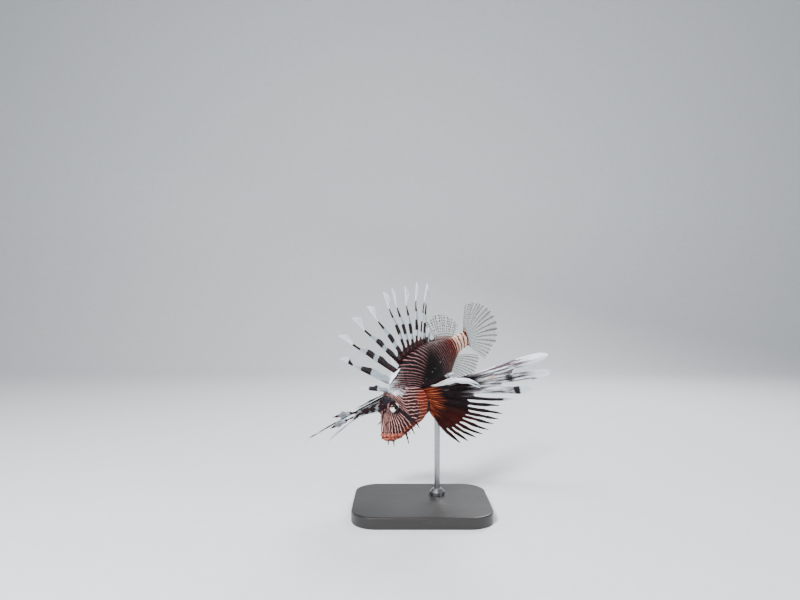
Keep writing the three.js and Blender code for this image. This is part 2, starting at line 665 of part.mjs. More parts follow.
// Pectoral fins, spread like hands. lead and trail are the directions of the first and the last ray as
// [back, outward, up].
function pectoral(side, lead, trail, lengths, cup) {
  const rows = PECTORAL_ROWS;
  const { first, normal, spread } = fanOf(side, lead, trail);
  const lengthOf = (i) => along(lengths, i) * BODY_LENGTH;
  const middleOf = (i, reach) => {
    const u = i / (PECTORAL_RAYS - 1);
    const [top, foot] = PECTORAL_ROOT;
    const degrees = mix(top[1], foot[1], u);
    const t = reach / lengthOf(i);
    return skinPlace([mix(top[2], foot[2], u), degrees], side, -ROOT_DEPTH)
      .addScaledVector(first.clone().applyAxisAngle(normal, spread * u), reach)
      .addScaledVector(normal, along(cup, i) * reach * t);
  };
  const vaneOf = (i) => (i > 0 && i < 4 ? LEADING_VANE : PECTORAL_VANE);
  // A ray's edge lies toward its neighbour, never past the middle of the way there
  const edgeOf = (i, t, toward) => {
    const reach = t * lengthOf(i);
    const point = middleOf(i, reach);
    const way = middleOf(i + toward, Math.min(reach, lengthOf(i + toward))).sub(point);
    const wide = Math.min(along(vaneOf(i), t), 0.36 * way.length());
    const ray = middleOf(i, reach + 1).sub(point).normalize();
    const across = way.addScaledVector(ray, -way.dot(ray)).normalize();
    return point.addScaledVector(across, wide);
  };
  // How many rows of skin join a ray to the next one
  const joinedTo = (i) => {
    if (i === PECTORAL_RAYS - 1) return 0;
    if (i === 0) return 2;
    return i < 3 ? 5 : 4;
  };
  const columns = [];
  for (let i = 0; i < PECTORAL_RAYS; i += 1) {
    const lobe = (t) => LOBE_HALF * (1 - THREE.MathUtils.smoothstep(t * lengthOf(i), LOBE_START, LOBE_END));
    const web = (t) => WEB_HALF + lobe(t);
    const spine = (t) => mix(1.2, 0.35, t) + lobe(t);
    const whole = rows.length - 1;
    columns.push(
      { points: rows.map((t) => edgeOf(i, t, -1)), halves: rows.map(web), joined: whole },
      { points: rows.map((t) => middleOf(i, t * lengthOf(i))), halves: rows.map(spine), joined: whole },
      { points: rows.map((t) => edgeOf(i, t, 1)), halves: rows.map(web), joined: joinedTo(i) },
    );
  }
  return columns;
}

function banner() {
  const rows = [0, 0.15, 0.3, 0.45, 0.6, 0.72, 0.84, 0.93, 1];
  const { first, normal } = fanOf(1, LEFT_LEAD, LEFT_TRAIL);
  const root = skinPlace([PECTORAL_ROOT[0][2], PECTORAL_ROOT[0][1]], 1, -ROOT_DEPTH);
  const middleOf = (t) => {
    const way = first.clone().applyAxisAngle(normal, THREE.MathUtils.degToRad(along(BANNER_TURN, t)));
    const clear = BANNER_CLEAR * THREE.MathUtils.smoothstep(t, 0.02, 0.35);
    return root.clone()
      .addScaledVector(way, t * (BANNER_LENGTH * BODY_LENGTH + ROOT_DEPTH))
      .addScaledVector(normal, -clear);
  };
  return [-1, 0, 1].map((place) => ({
    points: rows.map((t) => {
      const way = middleOf(t + 0.02).sub(middleOf(t)).normalize();
      return middleOf(t).addScaledVector(normal.clone().cross(way), place * along(BANNER_HALF, t));
    }),
    halves: rows.map((t) => (place ? 0.3 : mix(1, 0.45, t))),
    joined: place < 1 ? rows.length - 1 : 0,
  }));
}

// A long tentacle over an eye, with a leaf near its tip
function tentacle(side, { length, way: [toBack, toLeft, toUp] }) {
  const rows = TENTACLE_ROWS;
  const [back, left, up] = TENTACLE_ROOT.map((share) => share * BODY_LENGTH);
  const root = bend(back, side * left, up);
  const way = new THREE.Vector3(toBack, -toLeft, toUp).normalize();
  const across = new THREE.Vector3(0.4, 0, 1).cross(way).cross(way).normalize();
  const leaf = (t) => TENTACLE_LEAF * Math.max(Math.sin(Math.PI * (t - 0.66) / 0.3), 0);
  const wide = (t) => mix(2.6, 1, Math.min(t / 0.7, 1)) * (t > 0.95 ? 0.4 : 1) + leaf(Math.min(t, 0.96));
  const point = (t, aside) => root.clone()
    .addScaledVector(way, t * length)
    .addScaledVector(across, aside)
    .add(new THREE.Vector3(0, 0, -5 * t * t));
  return [-1, 0, 1].map((place) => ({
    points: rows.map((t) => point(t, place * wide(t))),
    halves: rows.map((t) => (place ? 0.3 : mix(1.8, 0.4, t))),
    joined: place < 1 ? rows.length - 1 : 0,
  }));
}

// Stand
function standBase() {
  const shape = new THREE.Shape();
  const x = BASE_LENGTH / 2 - BASE_BEVEL;
  const y = BASE_WIDTH / 2 - BASE_BEVEL;
  const corner = BASE_CORNER - BASE_BEVEL;
  shape.absarc(x - corner, y - corner, corner, 0, Math.PI / 2);
  shape.absarc(-x + corner, y - corner, corner, Math.PI / 2, Math.PI);
  shape.absarc(-x + corner, -y + corner, corner, Math.PI, 1.5 * Math.PI);
  shape.absarc(x - corner, -y + corner, corner, 1.5 * Math.PI, 2 * Math.PI);
  const plate = new THREE.ExtrudeGeometry(shape, {
    depth: BASE_HEIGHT - 2 * BASE_BEVEL,
    bevelThickness: BASE_BEVEL,
    bevelSize: BASE_BEVEL,
    bevelSegments: 2,
    curveSegments: 8,
  });
  return plate.translate(0, 0, BASE_BEVEL);
}

function turned(profile) {
  const outline = profile.map(([radius, height]) => new THREE.Vector2(radius, height));
  return new THREE.LatheGeometry(outline, 20).rotateX(Math.PI / 2);
}

// Pose of the fish
const fish = new THREE.Group();
fish.rotation.set(ROLL, -PITCH, YAW, 'ZYX');
const middle = bend(BODY_MIDDLE, 0, 0).applyEuler(fish.rotation);
fish.position.set(0, 0, HANGING_HEIGHT).sub(middle);
fish.updateMatrix();

// The whole body and the head's own forms, grown by the gap, to cut the fins to
let bodyGrown = solid(headLoft(GAP))
  .add(solid(trunkLoft(GAP, -4 * GAP)))
  .add(solid(stalkLoft(GAP, -4 * GAP)));
[1, -1].forEach((side) => {
  bodyGrown = bodyGrown.add(solid(orbit(side, GAP))).add(solid(eyeball(side, GAP)));
  RIDGES.forEach(([places, radius]) => {
    bodyGrown = bodyGrown.add(solid(ridge(places, radius, side, GAP)));
  });
});

// A fin, joined from sheets of columns and cut to the body
function fin(name, ...sheets) {
  const joined = sheets.map((columns) => solid(finFromColumns(columns))).reduce((a, b) => a.add(b));
  return named(name, 'fin', geometryOf(joined.subtract(bodyGrown)));
}

fish.add(
  named('head', 'skin', geometryOf(head())),
  named('trunk', 'skin', trunkLoft()),
  named('tail_stalk', 'skin', stalkLoft()),
  named('eye_left', 'eye', eyeball(1)),
  named('eye_right', 'eye', eyeball(-1)),
  fin('tentacle_left', tentacle(1, LEFT_TENTACLE)),
  fin('tentacle_right', tentacle(-1, RIGHT_TENTACLE)),
  fin('dorsal_fin_spines', spineFin()),
  fin('dorsal_fin_soft', softDorsal()),
  fin('caudal_fin', caudal()),
  fin('anal_fin', anal()),
  fin('pelvic_fin_left', pelvic(1)),
  fin('pelvic_fin_right', pelvic(-1)),
  fin('pectoral_fin_left', pectoral(1, LEFT_LEAD, LEFT_TRAIL, LEFT_RAYS, LEFT_CUP), banner()),
  fin('pectoral_fin_right', pectoral(-1, RIGHT_LEAD, RIGHT_TRAIL, RIGHT_RAYS, RIGHT_CUP)),
);

const belly = bend(ROD_BACK * BODY_LENGTH, 0, along(BELLY_LINE, ROD_BACK) * BODY_LENGTH);
belly.applyMatrix4(fish.matrix);
const rodFoot = BASE_HEIGHT + GAP;
const rodHead = belly.z + ROD_DEPTH;
const rod = solid(turned([[0, 0], [ROD_RADIUS, 0], [ROD_RADIUS, rodHead - rodFoot], [0, rodHead - rodFoot]]))
  .translate([belly.x, belly.y, rodFoot]);
const bodyInRow = bodyGrown.transform(fish.matrix.elements);
const collar = turned([
  [ROD_RADIUS + GAP, 0], [COLLAR_RADIUS, 0], [COLLAR_RADIUS, COLLAR_HEIGHT * 0.5],
  [ROD_RADIUS + 2.5, COLLAR_HEIGHT], [ROD_RADIUS + GAP, COLLAR_HEIGHT], [ROD_RADIUS + GAP, 0],
]);
collar.translate(belly.x, belly.y, rodFoot);

const lionfish = new THREE.Group();
lionfish.add(
  fish,
  named('stand_base', 'base', standBase()),
  named('stand_collar', 'steel', collar),
  named('stand_rod', 'steel', geometryOf(rod.subtract(bodyInRow))),
);

export default lionfish;
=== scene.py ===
"""A red lionfish as a still, life-size museum model: head down, fins spread, held over a plain stand.

The fish is shaped in a frame of its own, in millimetres: "back" runs from the tip of the snout to the
tail, "left" and "up" are measured from the middle of the body. Every point is then bent along the body's
curve, turned into the pose and lifted over the stand, as the solids are. A share is a distance as a part
of the body's length.
"""

import math

import bpy
import numpy as np
from mathutils import Euler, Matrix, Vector


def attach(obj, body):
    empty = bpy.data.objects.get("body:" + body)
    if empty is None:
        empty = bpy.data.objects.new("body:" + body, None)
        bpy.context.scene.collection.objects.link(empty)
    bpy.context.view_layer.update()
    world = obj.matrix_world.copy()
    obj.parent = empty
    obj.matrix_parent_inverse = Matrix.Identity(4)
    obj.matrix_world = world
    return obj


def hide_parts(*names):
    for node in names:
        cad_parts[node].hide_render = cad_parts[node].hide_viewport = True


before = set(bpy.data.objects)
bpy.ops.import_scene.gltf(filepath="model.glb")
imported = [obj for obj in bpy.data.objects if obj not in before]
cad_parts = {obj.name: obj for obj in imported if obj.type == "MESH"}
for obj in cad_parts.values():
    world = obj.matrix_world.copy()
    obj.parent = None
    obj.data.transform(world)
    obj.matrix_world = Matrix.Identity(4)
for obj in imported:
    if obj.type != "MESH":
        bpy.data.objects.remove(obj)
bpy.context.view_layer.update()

# Body and pose, as in the solids
BODY_LENGTH = 230.0
YAW = math.radians(45)
PITCH = math.radians(41)
ROLL = math.radians(-3)
BEND_START = 0.33 * BODY_LENGTH
BEND_ANGLE = math.radians(23)
BEND_SIDE = math.radians(18)
BEND_RADIUS = 0.65 * BODY_LENGTH / BEND_ANGLE
BODY_MIDDLE = 0.45 * BODY_LENGTH
HANGING_HEIGHT = 180.0
ROOT_DEPTH = 5.0  # how deep the fins start inside the body

BACK_LINE = [
    (0.02, -0.006), (0.045, 0.026), (0.09, 0.07), (0.15, 0.114), (0.22, 0.157), (0.3, 0.187),
    (0.41, 0.205), (0.52, 0.191), (0.64, 0.157), (0.76, 0.104), (0.87, 0.062), (1, 0.054),
]
BELLY_LINE = [
    (0.02, -0.042), (0.05, -0.078), (0.1, -0.108), (0.16, -0.126), (0.26, -0.148), (0.4, -0.168),
    (0.52, -0.167), (0.64, -0.147), (0.74, -0.101), (0.85, -0.057), (1, -0.052),
]
HALF_WIDTH = [
    (0.02, 0.014), (0.03, 0.023), (0.05, 0.032), (0.09, 0.044), (0.16, 0.066), (0.26, 0.09), (0.36, 0.1),
    (0.48, 0.092), (0.62, 0.068), (0.76, 0.038), (0.87, 0.021), (1, 0.012),
]
SNOUT = 0.02
SECTION_POWER = 2.15  # 2 would make the body's sections ellipses
GILL_NAPE = 0.205
GILL_FLAP = 0.362
GILL_THROAT = 0.265
GILL_STEP = 1.3
STALK_END = 0.99
EYE_RADIUS = 8.2
EYE_PLACE = np.array([0.165, 0.0395, 0.086]) * BODY_LENGTH
MOUTH_UP = -0.006
MOUTH_SLOPE = 0.98
MOUTH_BACK = 0.113
LIP_APART = 1.9
LIP_HEIGHT = 1.7
SIDE_NAMES = {1: "left", -1: "right"}


def columns(*values):
    """Numbers or arrays that belong together, side by side on a last axis."""
    return np.stack(np.broadcast_arrays(*values), -1)


def along(stations, place):
    """A smooth curve through stations of (place, value)."""
    xs, ys = np.array(stations, float).T
    slopes = np.gradient(ys, xs)
    slopes[1:-1] = (ys[2:] - ys[:-2]) / (xs[2:] - xs[:-2])
    at = np.clip(place, xs[0], xs[-1])
    k = np.clip(np.searchsorted(xs, at, side="left") - 1, 0, len(xs) - 2)
    span = xs[k + 1] - xs[k]
    t = (at - xs[k]) / span
    start = slopes[k] * span
    end = slopes[k + 1] * span
    rise = ys[k + 1] - ys[k]
    return ys[k] + t * (start + t * (3 * rise - 2 * start - end + t * (start + end - 2 * rise)))


def straight(stations, place):
    """Straight lines through stations of (place, value)."""
    return np.interp(place, *np.array(stations, float).T)


def mix(a, b, t):
    return a + (b - a) * t


def smooth(value, low, high):
    """0 below low, 1 over high, smooth between; it falls instead where low is more than high."""
    t = np.clip((value - low) / (high - low), 0, 1)
    return t * t * (3 - 2 * t)


def hump(value, centre, half):
    """1 at a centre, falling smoothly to 0 half a width away."""
    return smooth(np.abs(value - centre), half, 0)


def crest(value, half):
    """1 at 0, falling like a bell to both sides."""
    return np.exp(-(value / half) ** 2)


def unit(vectors):
    return vectors / np.maximum(np.linalg.norm(vectors, axis=-1, keepdims=True), 1e-9)


def way_of(direction, side):
    """A bent unit vector from its parts to the back, out to the side and up."""
    return unit(np.array(direction) * (1, -side, 1))


def bend(points):
    """Points of (back, left, up) put on the body's curve."""
    back, left, up = np.moveaxis(np.asarray(points, float), -1, 0)
    sine, cosine = math.sin(BEND_SIDE), math.cos(BEND_SIDE)
    reach = -left * sine - up * cosine
    aside = -left * cosine + up * sine
    turn = np.maximum(back - BEND_START, 0) / BEND_RADIUS
    axial = np.where(back > BEND_START, BEND_START + (BEND_RADIUS - reach) * np.sin(turn), back)
    reach = BEND_RADIUS - (BEND_RADIUS - reach) * np.cos(turn)
    return columns(axial, aside * cosine + reach * sine, aside * sine - reach * cosine)


TURN = np.array(Euler((0, 0, YAW)).to_matrix()) @ np.array(Euler((0, -PITCH, 0)).to_matrix())
TURN = TURN @ np.array(Euler((ROLL, 0, 0)).to_matrix())
LIFT = np.array([0, 0, HANGING_HEIGHT]) - TURN @ bend([BODY_MIDDLE, 0, 0])


def posed(points):
    """Points of the fish's own frame, already bent, in the scene's metres."""
    return (points @ TURN.T + LIFT) / 1000


def rounded(value):
    return np.sign(value) * np.abs(value) ** (2 / SECTION_POWER)


def section(share, angle, grown=0.0):
    """Points of the skin before it is bent, at angles round the body from 0 at the left side."""
    top = along(BACK_LINE, share) * BODY_LENGTH
    foot = along(BELLY_LINE, share) * BODY_LENGTH
    wide = along(HALF_WIDTH, share) * BODY_LENGTH + grown
    high = (top - foot) / 2 + grown
    left, up = wide * rounded(np.cos(angle)), (top + foot) / 2 + high * rounded(np.sin(angle))
    return columns(share * BODY_LENGTH, left, up)


def skin_spot(place, side, lift=0.0):
    """A point of the skin before it is bent, at (share, degrees up from the side), lifted off it."""
    share, degrees = place
    return section(share, math.radians(degrees if side > 0 else 180 - degrees), lift)


def gill_edge(angle):
    height = np.sin(angle)
    return mix(GILL_FLAP, np.where(height > 0, GILL_NAPE, GILL_THROAT), np.abs(height) ** 1.6)


# Making pieces
TIP_HALF = 0.12  # half the thickness of a sheet at its tip


def new_object(name, data):
    thing = bpy.data.objects.new(name, data)
    bpy.context.scene.collection.objects.link(thing)
    return thing


def grid_faces(rows, across, closed=True):
    """Quads over rows of points, each row running round or across."""
    i, j = np.meshgrid(np.arange(rows - 1), np.arange(across if closed else across - 1), indexing="ij")
    a = i * across + j
    b = i * across + (j + 1) % across
    return columns(a, b, b + across, a + across).reshape(-1, 4)


def capped_faces(rows, around):
    """Faces over closed rings of points, and to the two end points that follow them."""
    first, last = rows * around, (rows - 1) * around
    faces = grid_faces(rows, around).tolist()
    for j in range(around):
        k = (j + 1) % around
        faces += [[first, k, j], [first + 1, last + j, last + k]]
    return faces


class Parts:
    """Closed surfaces of one piece: bent points, faces, and marks of three values on each point."""

    def __init__(self):
        self.points = []
        self.faces = []
        self.marks = {}

    def add(self, points, faces, marks):
        before = sum(map(len, self.points))
        self.points.append(points)
        self.faces += [[corner + before for corner in face] for face in faces]
        for name, values in marks.items():
            self.marks.setdefault(name, []).append(values)

    def add_sheet(self, grid, halves, tip=TIP_HALF, turn=1, **marks):
        """Add a thin closed sheet round a grid of middle points, with its half thickness and marks.

        tip is the half thickness of the last row, and turn=-1 turns the faces over.
        """
        halves = halves + np.zeros(grid.shape[:2])
        if tip:
            halves[-1] = tip
        rows, across = halves.shape
        count = rows * across
        off = unit(np.cross(np.gradient(grid, axis=0), np.gradient(grid, axis=1))) * halves[..., None]
        edge = np.concatenate([
            np.arange(across),
            np.arange(1, rows) * across + across - 1,
            (rows - 1) * across + np.arange(across - 2, -1, -1),
            np.arange(rows - 2, 0, -1) * across,
        ])
        ahead = np.roll(edge, -1)
        walls = columns(edge, edge + count, ahead + count, ahead)
        front = grid_faces(rows, across, closed=False)
        faces = np.vstack([front[:, ::-1], front + count, walls[:, ::-1]])[:, ::turn]
        both = (2, *grid.shape)
        marks = {name: np.broadcast_to(columns(*mark), both).reshape(-1, 3) for name, mark in marks.items()}
        self.add(np.stack([grid + off, grid - off]).reshape(-1, 3), faces.tolist(), marks)

    def add_bar(self, middle, radius, sides, **marks):
        """Add a closed round bar along middle points, with a radius and marks for each of them."""
        ways = unit(np.gradient(middle, axis=0))
        start = (0, 0, 1.0) if abs(ways[0][2]) < 0.9 else (1.0, 0, 0)
        sideways = unit(np.cross(ways, start))
        turn = 2 * np.pi * np.arange(sides)[:, None] / sides
        spokes = np.cos(turn) * sideways[:, None] + np.sin(turn) * np.cross(sideways, ways)[:, None]
        rings = middle[:, None] + radius[:, None, None] * spokes

        def for_rings(values):
            return np.vstack([np.repeat(values, sides, axis=0), values[:1], values[-1:]])

        marks = {name: for_rings(columns(*mark)) for name, mark in marks.items()}
        points = np.vstack([rings.reshape(-1, 3), middle[:1], middle[-1:]])
        self.add(points, capped_faces(len(middle), sides), marks)

    def piece(self, name, slot, material, *nodes):
        """Make the piece, which rides on the body and stands for the CAD nodes that are named."""
        mesh = bpy.data.meshes.new(name)
        mesh.from_pydata(posed(np.vstack(self.points)).tolist(), [], self.faces)
        for mark, values in self.marks.items():
            layer = mesh.attributes.new(mark, "FLOAT_VECTOR", "POINT")
            layer.data.foreach_set("vector", np.vstack(values).astype(np.float32).ravel())
        mesh.polygons.foreach_set("use_smooth", [True] * len(mesh.polygons))
        mesh.materials.append(material)
        mesh.update()
        piece = new_object(name, mesh)
        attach(piece, "root")
        if nodes:
            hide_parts(*nodes)


# Markings of the skin, as fields over (share of the length, share up): each is smooth, and the
# material draws the fine lines along it
FAN_CENTRE = (0.155, 0.12)
FAN_START = 218.0
FAN_STEP = 6.8
BAR_MIDDLE = [
    (-0.09, 0.204), (-0.058, 0.196), (-0.023, 0.189), (0.021, 0.179), (0.061, 0.172), (0.091, 0.168),
    (0.12, 0.17),
]
CHEEK_FRONT = [
    (0.176, -3), (0.188, -1.4), (0.2, 0), (0.206, 1.5), (0.212, 3), (0.22, 4), (0.228, 5), (0.246, 6.5),
    (0.27, 8.2), (0.32, 11),
]
CHEEK_REAR = [
    (-0.13, -2.4), (-0.095, -1), (-0.066, 0), (-0.037, 1), (-0.006, 2), (0.018, 3), (0.042, 4),
    (0.068, 5), (0.095, 6), (0.135, 7.6), (0.19, 10),
]
CHEEK_SLOPE = 0.93
CHEEK_BLEND = 0.35
SIDE_LINE = [(0.3, 0.1), (0.36, 0.062), (0.45, 0.052), (0.6, 0.036), (0.8, 0.008), (1.0, 0.0)]
SPOT_TURNS = [(0.3, 0), (0.355, 1.5), (0.6, 8.5), (0.99, 19)]
BODY_TURNS = [(0.2, 0), (0.3, 7), (0.45, 17.5), (0.72, 32.5), (0.85, 38), (1.0, 41.6)]


def skin_marks(share, left, up):
    """The marks of the skin's points, from their places as shares of the body's length."""
    aside = np.abs(left)
    # Head: lines fan out below the eye, then bend back behind the eye's dark bar
    angle = np.degrees(np.arctan2(up - FAN_CENTRE[1], share - FAN_CENTRE[0])) % 360
    fan = (angle - FAN_START) / FAN_STEP - 3.6 * smooth(aside, 0.042, 0) * smooth(angle, 250, 222)
    front = along(CHEEK_FRONT, share)
    rear = along(CHEEK_REAR, up + CHEEK_SLOPE * (share - 0.244))
    cheek = -CHEEK_BLEND * np.log(np.exp(-front / CHEEK_BLEND) + np.exp(-rear / CHEEK_BLEND))
    past_bar = share - along(BAR_MIDDLE, up)
    in_fan = smooth(-past_bar, 0.002, 0.008) * smooth(angle, 170, 186) * smooth(angle, 304, 296)
    # Body: lines slope back over the shoulder and stand square to the axis toward the tail
    body = along(BODY_TURNS, share + 0.9 * smooth(share, 0.62, 0.22) * (up - 0.06))
    in_body = smooth(gill_share(share, up), -0.001, 0.003)
    in_head = 1 - in_body
    dorsal = smooth(up - 0.4 * (share - 0.45), 0.075, 0.125)
    shown = np.clip(dorsal + smooth(share, 0.56, 0.65) + smooth(share, 0.43, 0.35), 0, 1)
    shown *= 1 - 0.6 * smooth(-up, 0.03, 0.1) * smooth(share, 0.7, 0.6)
    # Dark tones: the bar through the eye, a band on the brow and the lid
    bar = hump(past_bar, 0.002, 0.016) * in_head * smooth(up, -0.09, -0.04) * smooth(up, 0.118, 0.1)
    brow_band = hump(share - 0.2 + 0.25 * (up - 0.12), 0.0, 0.011) * smooth(up, 0.09, 0.112)
    eye_gap = np.hypot(share * BODY_LENGTH - EYE_PLACE[0], (up - 0.004) * BODY_LENGTH - EYE_PLACE[2])
    dark = np.clip(np.maximum(bar + brow_band, 0.7 * hump(eye_gap, EYE_RADIUS + 1.5, 3.5)), 0, 1) * in_head
    # Orange and pale tones of throat, cheek, nape and brow
    throat = smooth(-(up + 0.35 * (share - 0.13)), 0.035, 0.075) * smooth(share, 0.1, 0.15)
    cover = smooth(share - 0.32 * (up + 0.02), 0.255, 0.3) * smooth(up, 0.075, 0.02)
    shoulder = smooth(-up, 0.01, 0.05) * smooth(share, 0.42, 0.38)
    orange = mix(np.maximum(throat, cover), shoulder, in_body)
    nape = 0.8 * smooth(up, 0.098, 0.118) * smooth(share, 0.212, 0.222) * smooth(share, 0.3, 0.27)
    brow = smooth(up, 0.104, 0.114) * smooth(share, 0.138, 0.15) * smooth(share, 0.2, 0.192) * in_head
    mouth = lip_distance(share, up)
    lips = smooth(mouth, -5.6, -4.2) * smooth(mouth, 4.8, 3.6) * smooth(share, 0.13, 0.118) * in_head
    under = smooth(-up - 0.02, 0.07, 0.11) * smooth(aside, 0.06, 0.03)
    from_line = np.clip((up - along(SIDE_LINE, share)) * BODY_LENGTH, -20, 20)
    return {
        "line_turns": columns(fan, cheek, body),
        "line_area": columns(in_fan * in_head, smooth(past_bar, 0.01, 0.016) * in_head, in_body * shown),
        "dark_orange_pale": columns(dark, orange, nape * (1 - 0.4 * in_body)),
        "brow_lips_under": columns(brow, lips, under),
        "trunk_rear_stalk": columns(in_body, smooth(share - 0.5 * up, 0.6, 0.8), smooth(share, 0.79, 0.87)),
        "white_spots": columns(along(SPOT_TURNS, share), from_line, 0),
        "fish_place": columns(share, left, up),
    }


def gill_share(share, up):
    """How far a place lies behind the gill opening, as a share of the length."""
    top = along(BACK_LINE, share)
    foot = along(BELLY_LINE, share)
    level = np.clip((up - (top + foot) / 2) / ((top - foot) / 2), -1, 1)
    return share - gill_edge(np.arcsin(np.sign(level) * np.abs(level) ** (SECTION_POWER / 2)))


def lip_distance(share, up):
    """Millimetres over the mouth's line, square to it."""
    line = MOUTH_UP - (share - SNOUT) * MOUTH_SLOPE
    return (up - line) / math.hypot(1, MOUTH_SLOPE) * BODY_LENGTH


# Materials
def linear(code):
    """A hexadecimal colour as the linear value that the shaders take."""
    values = [int(code[i:i + 2], 16) / 255 for i in (1, 3, 5)]
    return tuple(v / 12.92 if v <= 0.04045 else ((v + 0.055) / 1.055) ** 2.4 for v in values) + (1.0,)


class Value:
    """What a node puts out. Sums, products and the like of it make the nodes that work them out."""

    def __init__(self, shading, socket):
        self.shading = shading
        self.socket = socket

    def __add__(self, other):
        return self.shading.math("ADD", self, other)

    def __sub__(self, other):
        return self.shading.math("SUBTRACT", self, other)

    def __rsub__(self, other):
        return self.shading.math("SUBTRACT", other, self)

    def __mul__(self, other):
        return self.shading.math("MULTIPLY", self, other)

    def __truediv__(self, other):
        return self.shading.math("DIVIDE", self, other)

    def __abs__(self):
        return self.shading.math("ABSOLUTE", self)

    def root(self):
        return self.shading.math("SQRT", self)

    def from_half(self):
        """The part behind the decimal point, less a half."""
        return self.shading.math("FRACT", self) - 0.5

    def step(self, low, high):
        """0 below low, 1 over high, smooth between; it falls instead where low is more than high."""
        start, end = (0.0, 1.0) if low <= high else (1.0, 0.0)
        inputs = {"Value": self, 1: min(low, high), 2: max(low, high), 3: start, 4: end}
        return self.shading.value("ShaderNodeMapRange", inputs, interpolation_type="SMOOTHSTEP")


class Shading:
    """A material's or a group's nodes, made one after another."""

    def __init__(self, tree):
        self.tree = tree

    def fill(self, node, inputs):
        """Link or set a node's inputs. A colour may be given by its hexadecimal code."""
        for key, value in inputs.items():
            if isinstance(value, Value):
                self.tree.links.new(value.socket, node.inputs[key])
            else:
                node.inputs[key].default_value = linear(value) if isinstance(value, str) else value

    def add(self, kind, inputs, settings):
        node = self.tree.nodes.new(kind)
        column, row = len(self.tree.nodes) % 12, len(self.tree.nodes) // 12
        node.location = (180 * column - 1400, -170 * row)
        for name, value in settings.items():
            setattr(node, name, value)
        self.fill(node, inputs)
        return node

    def value(self, kind, inputs, output=0, **settings):
        return Value(self, self.add(kind, inputs, settings).outputs[output])

    def math(self, operation, a, b=0.0, c=0.0, clamp=False):
        return self.value("ShaderNodeMath", {0: a, 1: b, 2: c}, operation=operation, use_clamp=clamp)

    def blend(self, factor, a, b):
        return self.value("ShaderNodeMix", {0: factor, 6: a, 7: b}, 2, data_type="RGBA")

    def mark(self, name):
        return self.value("ShaderNodeAttribute", {}, "Vector", attribute_name=name)

    def parts(self, name):
        node = self.add("ShaderNodeSeparateXYZ", {0: self.mark(name)}, {})
        return [Value(self, output) for output in node.outputs]

    def noise(self, place, scale, detail=3.0, rough=0.55):
        inputs = {"Vector": place, "Scale": scale, "Detail": detail, "Roughness": rough}
        return self.value("ShaderNodeTexNoise", inputs, "Fac")

    def cells(self, place, scale, feature):
        return self.value("ShaderNodeTexVoronoi", {"Vector": place, "Scale": scale}, feature=feature)

    def stretched(self, place, *scale):
        return self.value("ShaderNodeVectorMath", {0: place, 1: scale}, operation="MULTIPLY")

    def bump(self, height, strength, distance):
        return self.value("ShaderNodeBump", {"Height": height, "Strength": strength, "Distance": distance})

    def group(self, group, **inputs):
        node = self.add("ShaderNodeGroup", inputs, {"node_tree": group})
        return {output.name: Value(self, output) for output in node.outputs}


def largest(first, *others):
    for other in others:
        first = first.shading.math("MAXIMUM", first, other)
    return first


def new_group(name, inputs, outputs):
    """A group with sockets for numbers, and for a vector where one is called Place."""
    group = bpy.data.node_groups.new(name, "ShaderNodeTree")
    for way, labels in (("INPUT", inputs), ("OUTPUT", outputs)):
        for label in labels:
            kind = "NodeSocketVector" if label == "Place" else "NodeSocketFloat"
            group.interface.new_socket(name=label, in_out=way, socket_type=kind)
    shading = Shading(group)
    entry = shading.add("NodeGroupInput", {}, {})
    return group, shading, [Value(shading, entry.outputs[label]) for label in inputs]


def make_pale_lines():
    """Thin lines where a phase is near a whole number, with wavering width and broken edges."""
    inputs = ("Phase", "Width", "Place")
    group, shading, (phase, width, place) = new_group("pale_lines", inputs, ("Line", "Core"))
    waver = shading.noise(place, 17, 2)
    shifted = shading.math("MULTIPLY_ADD", waver, 1.1, phase)
    distance = abs((shifted + 100.25).from_half()) * 2
    grain = shading.noise(place, 70, 2)
    ratio = distance / (width * shading.math("MULTIPLY_ADD", grain, 2.2, -0.1))
    shading.add("NodeGroupOutput", {"Line": ratio.step(1.25, 0.75), "Core": ratio.step(2.3, 1.2)}, {})
    return group


def make_fin_grain():
    """Streaks along the rays of a fin, their height, and dark bands with ragged edges."""
    outputs = ("Streak", "Speck", "Height", "Band")
    group, shading, (place, dark) = new_group("fin_grain", ("Place", "Dark"), outputs)
    streak = shading.noise(shading.stretched(place, 5, 5.5, 0), 1, 4, 0.6)
    fine = shading.noise(shading.stretched(place, 14, 34, 0), 1, 2)
    speck = shading.noise(shading.stretched(place, 60, 14, 0), 1, 2)
    ragged = dark + shading.math("MULTIPLY_ADD", speck, 0.66, -0.33)
    results = (streak, speck, fine * 0.7 + speck * 0.3, ragged.step(0.37, 0.63))
    shading.add("NodeGroupOutput", dict(zip(outputs, results)), {})
    return group


def described(describe):
    """Turn a function into a material of its name, with the shader inputs that it returns."""
    material = bpy.data.materials.new(describe.__name__)
    material.use_nodes = True
    shading = Shading(material.node_tree)
    inputs = describe(shading, shading.blend)
    shader = material.node_tree.nodes["Principled BSDF"]
    shading.fill(shader, {name.replace("_", " "): value for name, value in inputs.items()})
    return material


PALE_LINES = make_pale_lines()
FIN_GRAIN = make_fin_grain()
SPOT_GAP = 8.0  # millimetres from one white spot of the side line to the next
SPOT_ROW = 3.8  # millimetres from one row of dark spots on a soft fin to the next
RAY_GAP = 5.5  # millimetres from one ray to the next, where the spots are drawn


